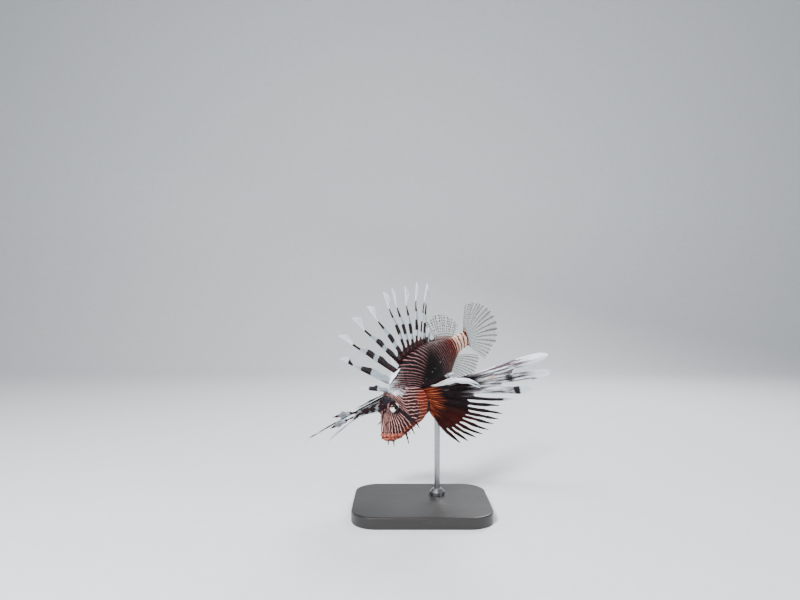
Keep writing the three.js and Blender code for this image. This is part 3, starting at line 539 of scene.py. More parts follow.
@described
def lionfish_skin(shading, blend):
    """Maroon skin with fine pale lines; the near-black along the flank is painted shade."""
    place = shading.mark("fish_place")
    fan, cheek, body = shading.parts("line_turns")
    fan_area, cheek_area, body_area = shading.parts("line_area")
    dark, orange, nape = shading.parts("dark_orange_pale")
    brow, lips, under = shading.parts("brow_lips_under")
    trunk, rear, stalk = shading.parts("trunk_rear_stalk")
    broad = shading.noise(place, 9)
    fine = shading.noise(place, 60, 4)
    scatter = shading.noise(place, 150, 2)

    # The ground is redder on the cheek's edges
    ground = blend(broad, "#170305", "#2e0709")
    ground = blend(orange * 0.85, ground, "#66180a")
    # The near-black at the flank's front is painted shade; the dark red toward the rear and the brown-red of
    # the stalk are the skin's own
    flank_with_painted_shade = blend(stalk, blend(rear, "#060203", "#210706"), "#4a150e")
    ground = blend(trunk, ground, flank_with_painted_shade)
    ground = blend(under * 0.55, ground, "#4a1a12")
    ground = blend(dark * 0.92, ground, "#0a0611")

    # Each pale line has a darker core round it, a little wider than the line
    line_sets = ((fan, 0.25, fan_area), (cheek, 0.23, cheek_area), (body, stalk * 0.44 + 0.18, body_area))
    drawn = []
    for phase, width, area in line_sets:
        line = shading.group(PALE_LINES, Phase=phase, Width=width, Place=place)
        drawn.append((line["Line"] * area, line["Core"] * area))
    dark_free = 1 - dark * 0.75
    lines, glow = (largest(*values) for values in zip(*drawn))
    lines *= dark_free
    glow_tint = blend(largest(orange, rear), "#330e14", "#4e140c")
    colour = blend(glow * 0.75 * dark_free, ground, glow_tint)
    line_tint = blend(orange * 0.75, blend(broad, "#b87a76", "#e2b6ac"), "#cc5a26")
    back_tint = blend(stalk, blend(rear, "#845c5e", "#a0402b"), "#eec6b2")
    colour = blend(lines, colour, blend(trunk, line_tint, back_tint))

    # Nape, brow and lips
    patch = nape * shading.noise(place, 22).step(0.36, 0.56)
    colour = blend(patch * 0.9, colour, "#dfe8f4")
    net = blend(shading.cells(place, 85, "DISTANCE_TO_EDGE").step(0.03, 0.16), "#2d2934", "#08060b")
    colour = blend(brow * 0.9, colour, net)
    mottle = shading.noise(place, 75)
    lip_tint = blend(mottle.step(0.36, 0.62), "#5c1a15", "#b4604c")
    lip_tint = blend(scatter.step(0.62, 0.72), lip_tint, "#e3ac92")
    colour = blend(lips, colour, lip_tint)
    colour = blend(scatter.step(0.73, 0.8), colour, "#b9705c")

    # Pale spots along the side line
    turns, from_line, _ = shading.parts("white_spots")
    from_turn = turns.from_half() * SPOT_GAP
    away = (from_turn * from_turn + from_line * from_line).root() + (mottle - 0.35) * 4
    colour = blend(away.step(1, 0.6) * trunk, colour, "#93a0a4")

    # Scales over a damp skin
    scales = shading.cells(place, 120, "SMOOTH_F1")
    height = scales * -0.8 + fine * 0.9 + lines * 0.35
    return dict(
        Base_Color=colour, Normal=shading.bump(height, 0.55, 0.0007), Roughness=fine.step(-0.4, 1.3),
        Specular_IOR_Level=0.16, Coat_Weight=0.04, Coat_Roughness=0.3)


@described
def lionfish_eye(shading, blend):
    """A dark eye with a black pupil in a tan ring, and white patches before and behind it."""
    back, up, _ = shading.parts("eye_place")
    out = (back * back + up * up).root()
    turn = shading.math("ARCTAN2", up, back)
    rays = shading.noise(shading.value("ShaderNodeCombineXYZ", {0: turn * 4, 1: out * 1.4}), 2.6)
    grain = shading.noise(shading.mark("eye_place"), 22)
    along_back = abs(shading.math("COSINE", turn + 0.12))
    white = (along_back + rays * 0.9).step(1.2, 1.36) * (out + grain * 0.3).step(1.08, 0.96)
    iris = blend(rays, "#08050b", "#2c161c")
    iris = blend(white, iris, blend(grain, "#e9dcd8", "#ffffff"))
    iris = blend(out.step(0.42, 0.4), iris, "#6b4a38")
    colour = blend(out.step(0.39, 0.375), iris, "#020203")
    return dict(
        Base_Color=colour, Normal=shading.bump(rays, 0.3, 0.0003), Roughness=0.3, Specular_IOR_Level=0.1,
        Coat_Weight=0.35, Coat_Roughness=0.02, Coat_IOR=1.35)


@described
def banded_fin(shading, blend):
    """The dorsal spines and tentacles: dark and pale bands on rods, thin skin behind them."""
    dark, red, thin = shading.parts("fin_tones")
    _, _, white = shading.parts("fin_place")
    grain = shading.group(FIN_GRAIN, Place=shading.mark("fin_place"), Dark=dark)
    streak = grain["Streak"]
    pale = blend(white, blend(streak, "#7f8f9b", "#c3ced6"), blend(streak, "#c4d6e2", "#fafdff"))
    night = blend(grain["Speck"], "#0a0508", "#221016")
    colour = blend(red * 0.8, blend(grain["Band"], pale, night), "#3c0f0d")
    clear = thin * (streak * -0.7 + 0.95) * 0.7
    return dict(
        Base_Color=colour, Alpha=shading.math("SUBTRACT", 1.0, clear, clamp=True),
        Normal=shading.bump(grain["Height"], 0.5, 0.0004), Roughness=0.5, Specular_IOR_Level=0.15)


@described
def pectoral_fin(shading, blend):
    """The paired fins: striped orange root, dark web and white plumes with dark streaks."""
    place = shading.mark("fin_place")
    along_ray, ray, _ = shading.parts("fin_place")
    pale, red, root = shading.parts("fan_tones")
    dark, web, _ = shading.parts("fan_marks")
    grain = shading.group(FIN_GRAIN, Place=place, Dark=dark)
    streak, speck = grain["Streak"], grain["Speck"]
    wide = shading.noise(shading.stretched(place, 4, 0.9, 0), 1)
    colour = blend(red, blend(speck, "#090508", "#1d0c10"), blend(streak, "#200605", "#491109"))
    streaked = streak.step(0.42, 0.56) * along_ray.step(0.93, 0.8)
    plume = blend(streaked, blend(speck, "#cfdde6", "#fdffff"), blend(wide, "#1d181f", "#75606a"))
    plume = blend(wide.step(0.6, 0.72), plume, "#c69a8c")
    colour = blend(pale, colour, plume)
    colour = blend(grain["Band"], colour, "#171016")
    drawn_out = shading.stretched(place, 0.2, 0.08, 0)
    stripes = shading.group(PALE_LINES, Phase=ray * 1.3, Width=0.24, Place=drawn_out)
    fleshy = blend(stripes["Line"], blend(streak, "#300805", "#571308"), "#c0623a")
    return dict(
        Base_Color=blend(root, colour, fleshy), Alpha=1 - web * 0.25,
        Normal=shading.bump(grain["Height"], 0.6, 0.0005), Roughness=0.5, Specular_IOR_Level=0.13)


@described
def spotted_fin(shading, blend):
    """The soft fins: clear skin with pale rays and rows of dark-brown spots."""
    place = shading.mark("fin_place")
    reach, ray, _ = shading.parts("fin_place")
    ridge, light, root = shading.parts("soft_marks")
    grain = shading.group(FIN_GRAIN, Place=shading.stretched(place, 0.02, 1, 0))
    jitter = shading.noise(shading.stretched(place, 0.12, 0.9, 0), 1, 1)
    from_row = abs((reach * (1 / SPOT_ROW) + jitter * 0.9).from_half()) * SPOT_ROW
    from_ray = abs((ray + 0.5).from_half()) * RAY_GAP
    size = shading.noise(place, 0.8, 1) * 1.4 + 0.35
    spot = ((from_row * from_row + from_ray * from_ray).root() / size).step(1.15, 0.8)
    skin = blend(grain["Streak"], "#9fb0ae", "#cfd6cf")
    colour = blend(ridge, skin, blend(grain["Speck"], "#a89a90", "#ded6cc"))
    colour = blend(spot, colour, blend(light, blend(jitter, "#050304", "#20100e"), "#dbe7ef"))
    colour = blend(root * 0.7, colour, "#7b3626")
    cover = largest(ridge * 0.42, spot * 0.95, root * 0.9)
    return dict(
        Base_Color=colour, Alpha=shading.math("MAXIMUM", cover, 0.3),
        Normal=shading.bump(grain["Height"], 0.3, 0.0003), Roughness=0.35, Specular_IOR_Level=0.3)


def object_place(shading):
    return shading.value("ShaderNodeTexCoord", {}, "Object")


@described
def stand_lacquer(shading, blend):
    """Dark lacquered wood with fine pores and a little dust."""
    place = object_place(shading)
    grain = shading.noise(shading.stretched(place, 6, 90, 90), 1, 5)
    pores = shading.noise(shading.stretched(place, 40, 900, 900), 1, 2)
    dust = shading.noise(place, 260, 2)
    colour = blend(dust.step(0.66, 0.8), blend(grain, "#1d1b1c", "#2b2827"), "#3c3937")
    height = grain * 0.6 + pores.step(0.4, 0.5) * 0.5
    return dict(Base_Color=colour, Roughness=grain * 0.18 + 0.3, Normal=shading.bump(height, 0.18, 0.0004))


@described
def stand_steel(shading, blend):
    """Brushed steel, turned round its upright axis."""
    place = object_place(shading)
    turned = shading.noise(shading.stretched(place, 30, 30, 2600), 1)
    colour = blend(shading.noise(place, 60) * 0.4, blend(turned, "#8d9093", "#b6b8ba"), "#77797c")
    return dict(
        Base_Color=colour, Normal=shading.bump(turned, 0.12, 0.0002), Roughness=turned * 0.16 + 0.22,
        Metallic=1.0)


@described
def pale_paper(shading, blend):
    """Pale paper for the floor and backdrop."""
    fibre = shading.noise(object_place(shading), 40)
    return dict(Base_Color=blend(fibre, "#d9dee2", "#e4e8ea"), Roughness=0.9)


# The skin of head, body and tail stalk in one
AROUND = 256
HEAD_RINGS = 190
BODY_RINGS = 140
# Behind the gill cover's edge the skin folds in: shares behind the edge, and parts of GILL_STEP
SKIN_FOLD = ((0.0012, 0.95), (0.0012, 0.45), (-0.002, 0.1), (-0.008, 0.0), (-0.002, 0.0))
FOLD_SINK = -0.15
RIDGES = [
    ([(0.12, 63), (0.145, 61), (0.175, 59), (0.2, 62)], 2.2),
    ([(0.09, 4), (0.15, 2), (0.21, 2), (0.275, 8)], 1.5),
    ([(0.13, -36), (0.19, -36), (0.24, -22), (0.265, 0)], 1.6),
    ([(0.17, 76), (0.185, 73), (0.2, 71)], 1.4),
    ([(0.075, 40), (0.1, 34), (0.13, 30)], 1.0),
]
RIDGE_BALLS = 40
RIM_BALLS = 72
RIM_RADIUS = 8.9
RIM_THICKNESS = 1.7
RIM_TILT = 0.22
NOSTRILS = [((0.088, 44), 1.4), ((0.108, 48), 1.0)]
HEART = 0.1  # from here forward the skin is drawn out from one point, to round off the snout


def eye_axes(side):
    """The ways out of an eye and up along its face."""
    sine, cosine = math.sin(RIM_TILT), math.cos(RIM_TILT)
    return np.array([0, side * cosine, sine]), np.array([0, -side * sine, cosine])


def circle(turn, upward):
    return np.cos(turn)[..., None] * np.array([1, 0, 0]) + np.sin(turn)[..., None] * upward


def head_balls():
    """Every ridge and eye rim of the head, as balls with a radius each."""
    centres, radii = [], []
    t = np.linspace(0, 1, RIDGE_BALLS)
    for side in (1, -1):
        for places, radius in RIDGES:
            knots = np.array([skin_spot(place, side, 0.1 * radius) for place in places])
            at = np.linspace(0, 1, len(knots))
            centres.append(columns(*(along(columns(at, knot), t) for knot in knots.T)))
            radii.append(radius * (0.35 + 0.65 * np.sin(np.pi * t)))
        outward, upward = eye_axes(side)
        turn = np.linspace(0, 2 * np.pi, RIM_BALLS, endpoint=False)
        centres.append(EYE_PLACE * (1, side, 1) + outward * 2.4 + RIM_RADIUS * circle(turn, upward))
        radii.append(RIM_THICKNESS * (1 + 0.12 * np.sin(3 * turn + 0.5)))
    return np.vstack(centres), np.concatenate(radii)


def even_out(values, rounds=3):
    """Values over rings of points, evened out with their neighbours."""
    for _ in range(rounds):
        ahead = np.vstack([values[1:], values[-1:]])
        behind = np.vstack([values[:1], values[:-1]])
        values = 0.4 * values + 0.15 * (ahead + behind + np.roll(values, 1, 1) + np.roll(values, -1, 1))
    return values


def relief(points, shares):
    """Move points of the head out over ridges and rims, and in at mouth, eyes and nostrils."""
    start = points.reshape(-1, 3)
    share = np.maximum(shares.ravel(), HEART)
    heart = columns(share, 0, (along(BACK_LINE, share) + along(BELLY_LINE, share)) / 2) * BODY_LENGTH
    way = start - heart
    reach = np.linalg.norm(way, axis=1)
    way /= reach[:, None]
    grown = reach.copy()
    for centre, radius in zip(*head_balls()):
        near = np.flatnonzero(np.abs(start[:, 0] - centre[0]) < 2.5 * radius + 3)
        to_ball = centre - heart[near]
        nearest = (way[near] * to_ball).sum(1)
        depth = radius ** 2 - ((to_ball ** 2).sum(1) - nearest ** 2)
        met = (depth > 0) & (nearest > 0)
        grown[near[met]] = np.maximum(grown[near[met]], nearest[met] + np.sqrt(depth[met]))
    flat = start + way * even_out((grown - reach).reshape(shares.shape)).reshape(-1, 1)
    # Lips and the cleft of the mouth
    back, _, up = flat.T / BODY_LENGTH
    mouth = lip_distance(back, up)
    lips = LIP_HEIGHT * (hump(mouth, LIP_APART + 0.2, 3.0) + hump(mouth, -LIP_APART, 2.6))
    cleft = -3.2 * hump(mouth, 0, 1.0)
    fold = -0.7 * hump(mouth, 5.2, 1.2) * smooth(share, 0.13, 0.1)
    flat += way * ((lips + cleft) * smooth(back, MOUTH_BACK + 0.004, MOUTH_BACK - 0.018) + fold)[:, None]
    # Nostrils and eye sockets
    for side in (1, -1):
        for place, radius in NOSTRILS:
            away = np.linalg.norm(start - skin_spot(place, side), axis=1)
            flat += way * (0.9 * hump(away, radius, 0.9) - 1.8 * smooth(away, radius, 0.3))[:, None]
        outward, _ = eye_axes(side)
        from_eye = flat - EYE_PLACE * (1, side, 1)
        height = from_eye @ outward
        aside = np.linalg.norm(from_eye - height[:, None] * outward, axis=1)
        sunk = smooth(aside, 8.3, 7.3) * (height > -4) * (flat[:, 1] * side > -1)
        socket = np.sqrt(np.maximum((EYE_RADIUS - 1.3) ** 2 - np.minimum(aside, 6.5) ** 2, 0))
        flat += outward * ((np.minimum(socket, height) - height) * sunk)[:, None]
    return flat.reshape(points.shape)


def build_skin():
    angles = -2 * np.pi * (np.arange(AROUND) + 0.5) / AROUND
    edge = gill_edge(angles)
    head = 0.002 + 0.998 * np.linspace(0, 1, HEAD_RINGS)[:, None] ** 1.1
    behind, depth = np.array(SKIN_FOLD).T[..., None]
    body = np.linspace(0, 1, BODY_RINGS + 1)[1:, None]
    shares = np.vstack([mix(SNOUT, edge, head), edge + behind, mix(edge + 0.0015, STALK_END, body)])
    grown = np.vstack([
        GILL_STEP * smooth(head, 0.8, 0.96), GILL_STEP * depth + FOLD_SINK, FOLD_SINK * smooth(body, 0.1, 0)])
    smooth_skin = section(shares, angles, grown)
    points = smooth_skin.copy()
    points[:HEAD_RINGS] = relief(points[:HEAD_RINGS], shares[:HEAD_RINGS])
    ends = [points[0].mean(0) - (0.2, 0, 0), (STALK_END * BODY_LENGTH + 1.5, 0, 0)]
    places = np.vstack([smooth_skin.reshape(-1, 3), *ends]) / BODY_LENGTH
    skin = Parts()
    whole = np.vstack([points.reshape(-1, 3), *ends])
    skin.add(bend(whole), capped_faces(len(shares), AROUND), skin_marks(*places.T))
    skin.piece("body_skin", "skin", lionfish_skin, "head", "trunk", "tail_stalk")


# Eyes
EYE_RINGS = 44
EYE_AROUND = 72


def build_eye(side):
    polar = np.pi * np.linspace(0, 1, EYE_RINGS)[:, None] ** 1.1
    turn = 2 * np.pi * np.arange(EYE_AROUND) / EYE_AROUND
    outward, upward = eye_axes(side)
    radius = (EYE_RADIUS - 0.12) * (1 - 0.02 * smooth(polar, 0.9, 1.1))
    ways = np.cos(polar)[..., None] * outward + np.sin(polar)[..., None] * circle(turn, upward)
    ball = ways * radius[..., None]
    from_centre = np.vstack([ball[1:-1].reshape(-1, 3), ball[:1, 0], ball[-1:, 0]])
    faces = grid_faces(EYE_RINGS - 2, EYE_AROUND)[:, ::side].tolist()
    first, last = (EYE_RINGS - 2) * EYE_AROUND, (EYE_RINGS - 3) * EYE_AROUND
    for j in range(EYE_AROUND):
        k = (j + 1) % EYE_AROUND
        faces += [[first, j, k][::side], [first + 1, last + k, last + j][::side]]
    place = from_centre / EYE_RADIUS
    eye = Parts()
    marks = {"eye_place": columns(place[:, 0], place @ upward, place @ outward)}
    eye.add(bend(EYE_PLACE * (1, side, 1) + from_centre), faces, marks)
    eye.piece("eyeball_" + SIDE_NAMES[side], "eye", lionfish_eye, "eye_" + SIDE_NAMES[side])


# Dorsal spines
SPINE_COUNT = 13
SPINE_ROOT = list(enumerate(
    (0.222, 0.262, 0.335, 0.388, 0.43, 0.462, 0.491, 0.518, 0.547, 0.575, 0.603, 0.642, 0.7), 1))
SPINE_LEAN = list(enumerate((130, 114, 109, 100, 92, 82, 77, 70, 60, 53, 54, 55, 56), 1))
SPINE_LENGTH = list(enumerate((46, 92, 106, 104, 95, 96, 93, 87, 88, 85, 78, 20, 12), 1))
SPINE_SKIN = [(1, 7), (2, 8.5), (3, 8), (4, 5), (6, 4), (11, 3.4), (13, 2.6)]
SPINE_WIDTH = [(0, 1.45), (0.5, 0.95), (1, 0.3)]
SPINE_SWAY = 0.6
NAPE_SHARE = [(0, 0.22), (0.5, 0.286), (1, 0.362)]
NAPE_ANGLE = [(0, 95), (0.5, 86), (1, 78)]
NAPE_CREST = 7.5
PENNANT_START = 0.79
PENNANT_WIDTH = list(enumerate((5, 7, 7.5, 8, 7, 6.5, 4, 7, 6.5, 6, 6, 1, 1), 1))
# Dark bands on a spine, by millimetres from its tip
BANDS = [
    (0, 0), (25, 0), (26.5, 1), (38.5, 1), (40, 0), (49.5, 0), (51, 1), (63.5, 1), (65, 0.1), (71, 0.1),
    (73, 1), (200, 1),
]
FIRST_BANDS = [(0, 0), (14, 0), (15, 1), (28, 1), (29.5, 0.05), (60, 0.05)]
SECOND_BANDS = [
    (0, 0), (11, 0), (12.5, 0.8), (20, 0.8), (22, 0.05), (34, 0.05), (36, 1), (52, 1), (54, 0.1), (110, 0.1),
]
RAY_SPAN = 60  # millimetres along a ray for which fin_place grows by one


def spine_point(n, reach, aside=0.0):
    """Bent points of dorsal spine n at distances from its root inside the body, aside of its axis."""
    lean = math.radians(along(SPINE_LEAN, n))
    share = along(SPINE_ROOT, n)
    root = share * BODY_LENGTH - ROOT_DEPTH / math.tan(lean)
    foot = along(BACK_LINE, share) * BODY_LENGTH - ROOT_DEPTH
    sway = SPINE_SWAY * (-1) ** n * (reach / 60) ** 2
    sine, cosine = math.sin(lean), math.cos(lean)
    return bend(columns(root + cosine * reach + sine * aside, sway, foot + sine * reach - cosine * aside))


def spine_reach(n):
    return along(SPINE_LENGTH, n) + ROOT_DEPTH / math.sin(math.radians(along(SPINE_LEAN, n)))


def spine_bands(n, from_tip):
    return straight({1: FIRST_BANDS, 2: SECOND_BANDS}.get(n, BANDS), from_tip + 1.6 * math.sin(2.4 * n))


def spine_sheet_width(n, t, long):
    """How far the skin behind a spine reaches, and the pennant near its tip."""
    reach = spine_reach(n)
    skin = along(SPINE_SKIN, n) * (1 - 0.75 * long * smooth(t, 0.45, 0.72))
    if n < SPINE_COUNT:
        gap = np.linalg.norm(spine_point(n + 1, reach * t) - spine_point(n, reach * t), axis=1)
        skin = np.minimum(skin, np.maximum(0.6 * gap - 3, 0.3))
    skin = skin * (1 + 0.1 * np.sin(26 * t + 2 * n))
    u = np.clip((t - PENNANT_START) / (1 - PENNANT_START), 0, 1)
    notch = 1 - 0.35 * hump(u, 0.3 + 0.05 * (n % 3), 0.1) * (n % 2) - 0.2 * hump(u, 0.72, 0.08)
    pennant = along(PENNANT_WIDTH, n) * np.maximum(np.sin(np.pi * u ** 0.9), 0) ** 0.85 * notch
    wide = np.where(t > PENNANT_START, np.maximum(pennant * long, 0.5), np.maximum(skin, 0.4))
    wide = np.convolve(np.pad(wide, 2, mode="edge"), np.ones(5) / 5, "valid")
    wide[-1] = 0.15
    return wide


def add_spine(parts, n):
    """A spine as a rod, and the sheet behind it."""
    reach = spine_reach(n)
    long = float(smooth(along(SPINE_LENGTH, n), 30, 60))
    t = np.linspace(0, 1, 90)
    wobble = 0.2 * np.sin(5 * t + n) * t
    parts.add_bar(
        spine_point(n, reach * t, wobble), along(SPINE_WIDTH, t), 10,
        fin_place=(t * reach / RAY_SPAN, n, smooth(t, 0.7, 0.78)),
        fin_tones=(spine_bands(n, reach * (1 - t)), 0.7 * smooth(t * reach, 28, 12), 0))
    wide, wobble, t = spine_sheet_width(n, t, long)[:, None], wobble[:, None], t[:, None]
    v = np.linspace(0, 1, 9)
    grid = spine_point(n, reach * t, along(SPINE_WIDTH, t) * 0.2 + wide * v + wobble)
    grid[..., 1] += 0.35 * np.sin(27 * t + n) * v * smooth(t, 0.1, 0.3)
    halves = mix(0.34, 0.2, v)
    halves[-1] = TIP_HALF
    dark = spine_bands(n, reach * (1 - t) + 1.2 * np.sin(7 * v) * v)
    thin = smooth(v, 0.05, 0.3) * smooth(t, 0.8, 0.72) * (1 - 0.6 * dark)
    blush = long * hump(t, 0.89, 0.06) * hump(v, 0.5, 0.45)
    reddish = smooth(t * reach, 26, 10) * (0.6 if n > 4 else 0.2)
    parts.add_sheet(
        grid, halves, None,
        fin_place=(t * reach / RAY_SPAN, n + v * 0.9, smooth(t, 0.7, 0.78)),
        fin_tones=(np.maximum(dark, 0.4 * blush), np.maximum(reddish, 0.2 * blush), thin))


def add_spine_web(parts, n):
    """The low skin between two neighbouring spines, white on the nape."""
    t = np.linspace(0, 1, 26)[:, None]
    v = np.linspace(0, 1, 15)
    white = n < 4
    high = 0.2 if n < 11 else 0.34
    first = NAPE_CREST if white else high * spine_reach(n)
    second = NAPE_CREST if n < 3 else high * spine_reach(n + 1)
    sag = 1 - (0.16 if white else 0.38) * np.sin(np.pi * v)
    reach = t * (ROOT_DEPTH + mix(first, second, v)) * sag
    grid = mix(spine_point(n, reach), spine_point(n + 1, reach), v[:, None])
    grid[..., 1] += 0.5 * np.sin(2 * np.pi * v) * t
    inner = smooth(t, 0.95, 0.82)
    tones = (0.7 + 0.3 * inner, inner * 0.5 * np.sin(12 * v) ** 2, 0.5 * smooth(t, 0.3, 0.7))
    parts.add_sheet(
        grid, 0.24, fin_place=(reach / RAY_SPAN, n + v, float(white)),
        fin_tones=(0.2 * np.sin(9 * v + n) ** 2, 0, 0) if white else tones)


def add_nape_skin(parts):
    """The loose white skin that hangs from the first spines down the near side of the nape."""
    t = np.linspace(0, 1, 40)
    v = np.linspace(-1, 1, 9)
    share = along(NAPE_SHARE, t)
    angle = np.radians(along(NAPE_ANGLE, t))
    lift = 0.4 + 1.6 * np.sin(np.pi * t)
    middle = section(share, angle, lift)
    across = unit(np.cross(np.gradient(middle, axis=0), section(share, angle, lift + 1) - middle))
    half = 3.3 * np.maximum(np.sin(np.pi * t ** 1.3), 0.06) ** 0.8 * (1 + 0.12 * np.sin(21 * t))
    grid = middle[:, None] + across[:, None] * (half[:, None] * v)[..., None]
    parts.add_sheet(
        bend(grid), 0.2 + 0.4 * crest(v, 0.35), None,
        fin_place=(t[:, None] * 0.6, 15 + 0.5 * v, 1), fin_tones=(0, 0, 0))


def build_spines():
    parts = Parts()
    add_nape_skin(parts)
    for n in range(1, SPINE_COUNT + 1):
        add_spine(parts, n)
        if n < SPINE_COUNT:
            add_spine_web(parts, n)
    parts.piece("dorsal_spines", "banded_fin", banded_fin, "dorsal_fin_spines")


# Soft fins and pelvic fins
def ray_grid(count, detail, rows, rays, scallop, sag, sway, pace):
    """A fan of rays, scalloped between them. rays(u, ray) gives roots, directions and lengths.

    Returns the bent grid, and for its points the part of the ray's length, the ray's number, the distance
    from the nearest ray and the reach in millimetres.
    """
    u = np.linspace(0, 1, (count - 1) * detail + 1)
    ray = u * (count - 1)
    off = np.abs(ray - np.round(ray))
    t = np.linspace(0, 1, rows)[:, None]
    roots, ways, lengths = rays(u, ray)
    reach = lengths * (1 - scallop * np.sin(np.pi * off) ** 2) * t
    grid = roots + ways * reach[..., None]
    grid[..., 1] += sag * t ** 2 + sway * np.sin(pace * ray + 3 * t) * t
    return bend(grid), t, ray, off, reach


def edge_roots(line, inward, first, last):
    """A function for roots along the line of back or belly, moved inward, between two shares."""
    def roots(u):
        share = mix(first, last, u)
        return columns(share * BODY_LENGTH, 0, along(line, share) * BODY_LENGTH + inward)
    return roots


def stalk_roots(u):
    return columns(STALK_END - 0.012, 0, mix(0.042, -0.04, u)) * BODY_LENGTH


# Name, CAD node, rays, rows, droop, lightness, roots, depth of the roots, the first and the last ray's
# degrees, and lengths as shares of the body
SOFT_FINS = [
    ("soft_dorsal", "dorsal_fin_soft", 14, 64, -2, 0, edge_roots(BACK_LINE, -4, 0.7, 0.85), ROOT_DEPTH,
     (98, 24), [(0, 0.12), (0.35, 0.155), (1, 0.12)]),
    ("tail_fin", "caudal_fin", 20, 96, 4, 0.08, stalk_roots, 0,
     (70, -46), [(0, 0.18), (0.3, 0.28), (0.62, 0.42), (0.85, 0.29), (1, 0.22)]),
    ("anal_soft", "anal_fin", 13, 80, -2, 0, edge_roots(BELLY_LINE, 4, 0.69, 0.83), ROOT_DEPTH,
     (-56, -22), [(0, 0.13), (0.3, 0.22), (0.7, 0.3), (1, 0.3)]),
]


def build_soft_fin(name, node, count, rows, droop, light, roots, depth, fan, lengths):
    """A fan of branching rays under clear skin."""
    def rays(u, ray):
        angles = np.radians(mix(*fan, u))
        ways = columns(np.cos(angles), 0, np.sin(angles))
        length = (along(lengths, u) * BODY_LENGTH + depth) * (1 - 0.012 * np.sin(5.3 * ray) ** 2)
        return roots(u) - ways * (depth, 0, 0), ways, length

    grid, t, ray, off, reach = ray_grid(count, 12, rows, rays, 0.08, droop, 0.9, 2.2)
    # Each ray parts in two and then in four
    split = 0.11 * smooth(t, 0.4, 0.62)
    fork = 0.055 * smooth(t, 0.68, 0.86)
    twig = np.minimum(np.abs(off - split - fork), np.abs(off - split + fork))
    ridge = crest(twig, mix(0.13, 0.05, t))
    parts = Parts()
    parts.add_sheet(
        grid, 0.2 + ridge * mix(0.5, 0.12, t), 0.14,
        fin_place=(reach, ray, 0), soft_marks=(ridge, light, smooth(reach, 13, 5)))
    parts.piece(name, "spotted_fin", spotted_fin, node)


PELVIC_LENGTH = [(0, 0.34), (0.25, 0.46), (0.6, 0.44), (1, 0.27)]


def build_pelvic(side):
    def rays(u, ray):
        roots = columns(mix(0.35, 0.4, u), side * mix(0.022, 0.05, u), mix(-0.15, -0.146, u))
        ways = unit(columns(1, side * 0.16, mix(-0.34, 0.02, u)))
        return roots * BODY_LENGTH, ways, along(PELVIC_LENGTH, u) * BODY_LENGTH

    grid, t, ray, off, reach = ray_grid(6, 16, 96, rays, 0.14, 6 * side, 0.8, 2)
    ridge = crest(off - 0.07 * smooth(t, 0.5, 0.8), 0.11)
    spots = hump(np.mod(reach / 9 + 0.3 * np.sin(3 * ray), 1), 0.5, 0.22) * smooth(t, 0.3, 0.4)
    pale = np.clip(0.55 * spots * ridge + 0.8 * smooth(t, 0.93, 0.99), 0, 1)
    parts = Parts()
    parts.add_sheet(
        grid, 0.22 + ridge * mix(0.6, 0.14, t), turn=side,
        fin_place=(t * 0.7, ray * 1.2 + 50, 0),
        fan_tones=(pale, 0.55 * hump(t, 0.4, 0.5), 0.6 * smooth(reach, 20, 8)),
        fan_marks=(0, 0.5 * (1 - ridge), 0))
    parts.piece("pelvic_fan_" + SIDE_NAMES[side], "dark_fin", pectoral_fin, "pelvic_fin_" + SIDE_NAMES[side])


# Fans of the pectoral fins
PECTORAL_RAYS = 14
PECTORAL_ROOT = ((0.372, 8), (0.356, -52))
PECTORAL_VANE = [(0, 2.2), (0.4, 3.1), (0.74, 3.3), (0.9, 2.3), (1, 0.4)]
PLUME_VANE = [(0, 1.8), (0.4, 3.4), (0.6, 5), (0.88, 8), (0.96, 6), (1, 1.5)]
SLENDER_VANE = [(0, 1.4), (0.5, 2.1), (0.72, 1.7), (0.9, 1.1), (1, 0.3)]
LEAF_VANE = [(0, 1.4), (0.5, 1.8), (0.8, 1.2), (0.86, 2.2), (0.92, 3.6), (0.96, 2.4), (1, 0.4)]
LEFT_RAYS = [
    (0, 0.26), (1, 0.8), (2, 0.77), (3, 0.64), (4, 0.52), (5, 0.44), (6, 0.46), (8, 0.43), (13, 0.4),
]
RIGHT_RAYS = [(0, 0.34), (1, 0.76), (2, 0.6), (3, 0.46), (4, 0.42), (6, 0.42), (13, 0.36)]
LEFT_CUP = [(0, 0.06), (13, 0.06)]
RIGHT_CUP = [(0, 0), (1, 0.05), (2, 0.15), (3, 0.09), (5, 0.02), (13, 0.02)]
FINGER_CURL = math.radians(7)
LOBE_HALF = 2.0
LOBE_START = 12.0
LOBE_END = 34.0


def turned(vector, axis, angle):
    """A vector turned about an axis by each of the angles."""
    angle = angle[..., None]
    cross = np.cross(axis, vector)
    return vector * np.cos(angle) + cross * np.sin(angle) + axis * (axis @ vector) * (1 - np.cos(angle))


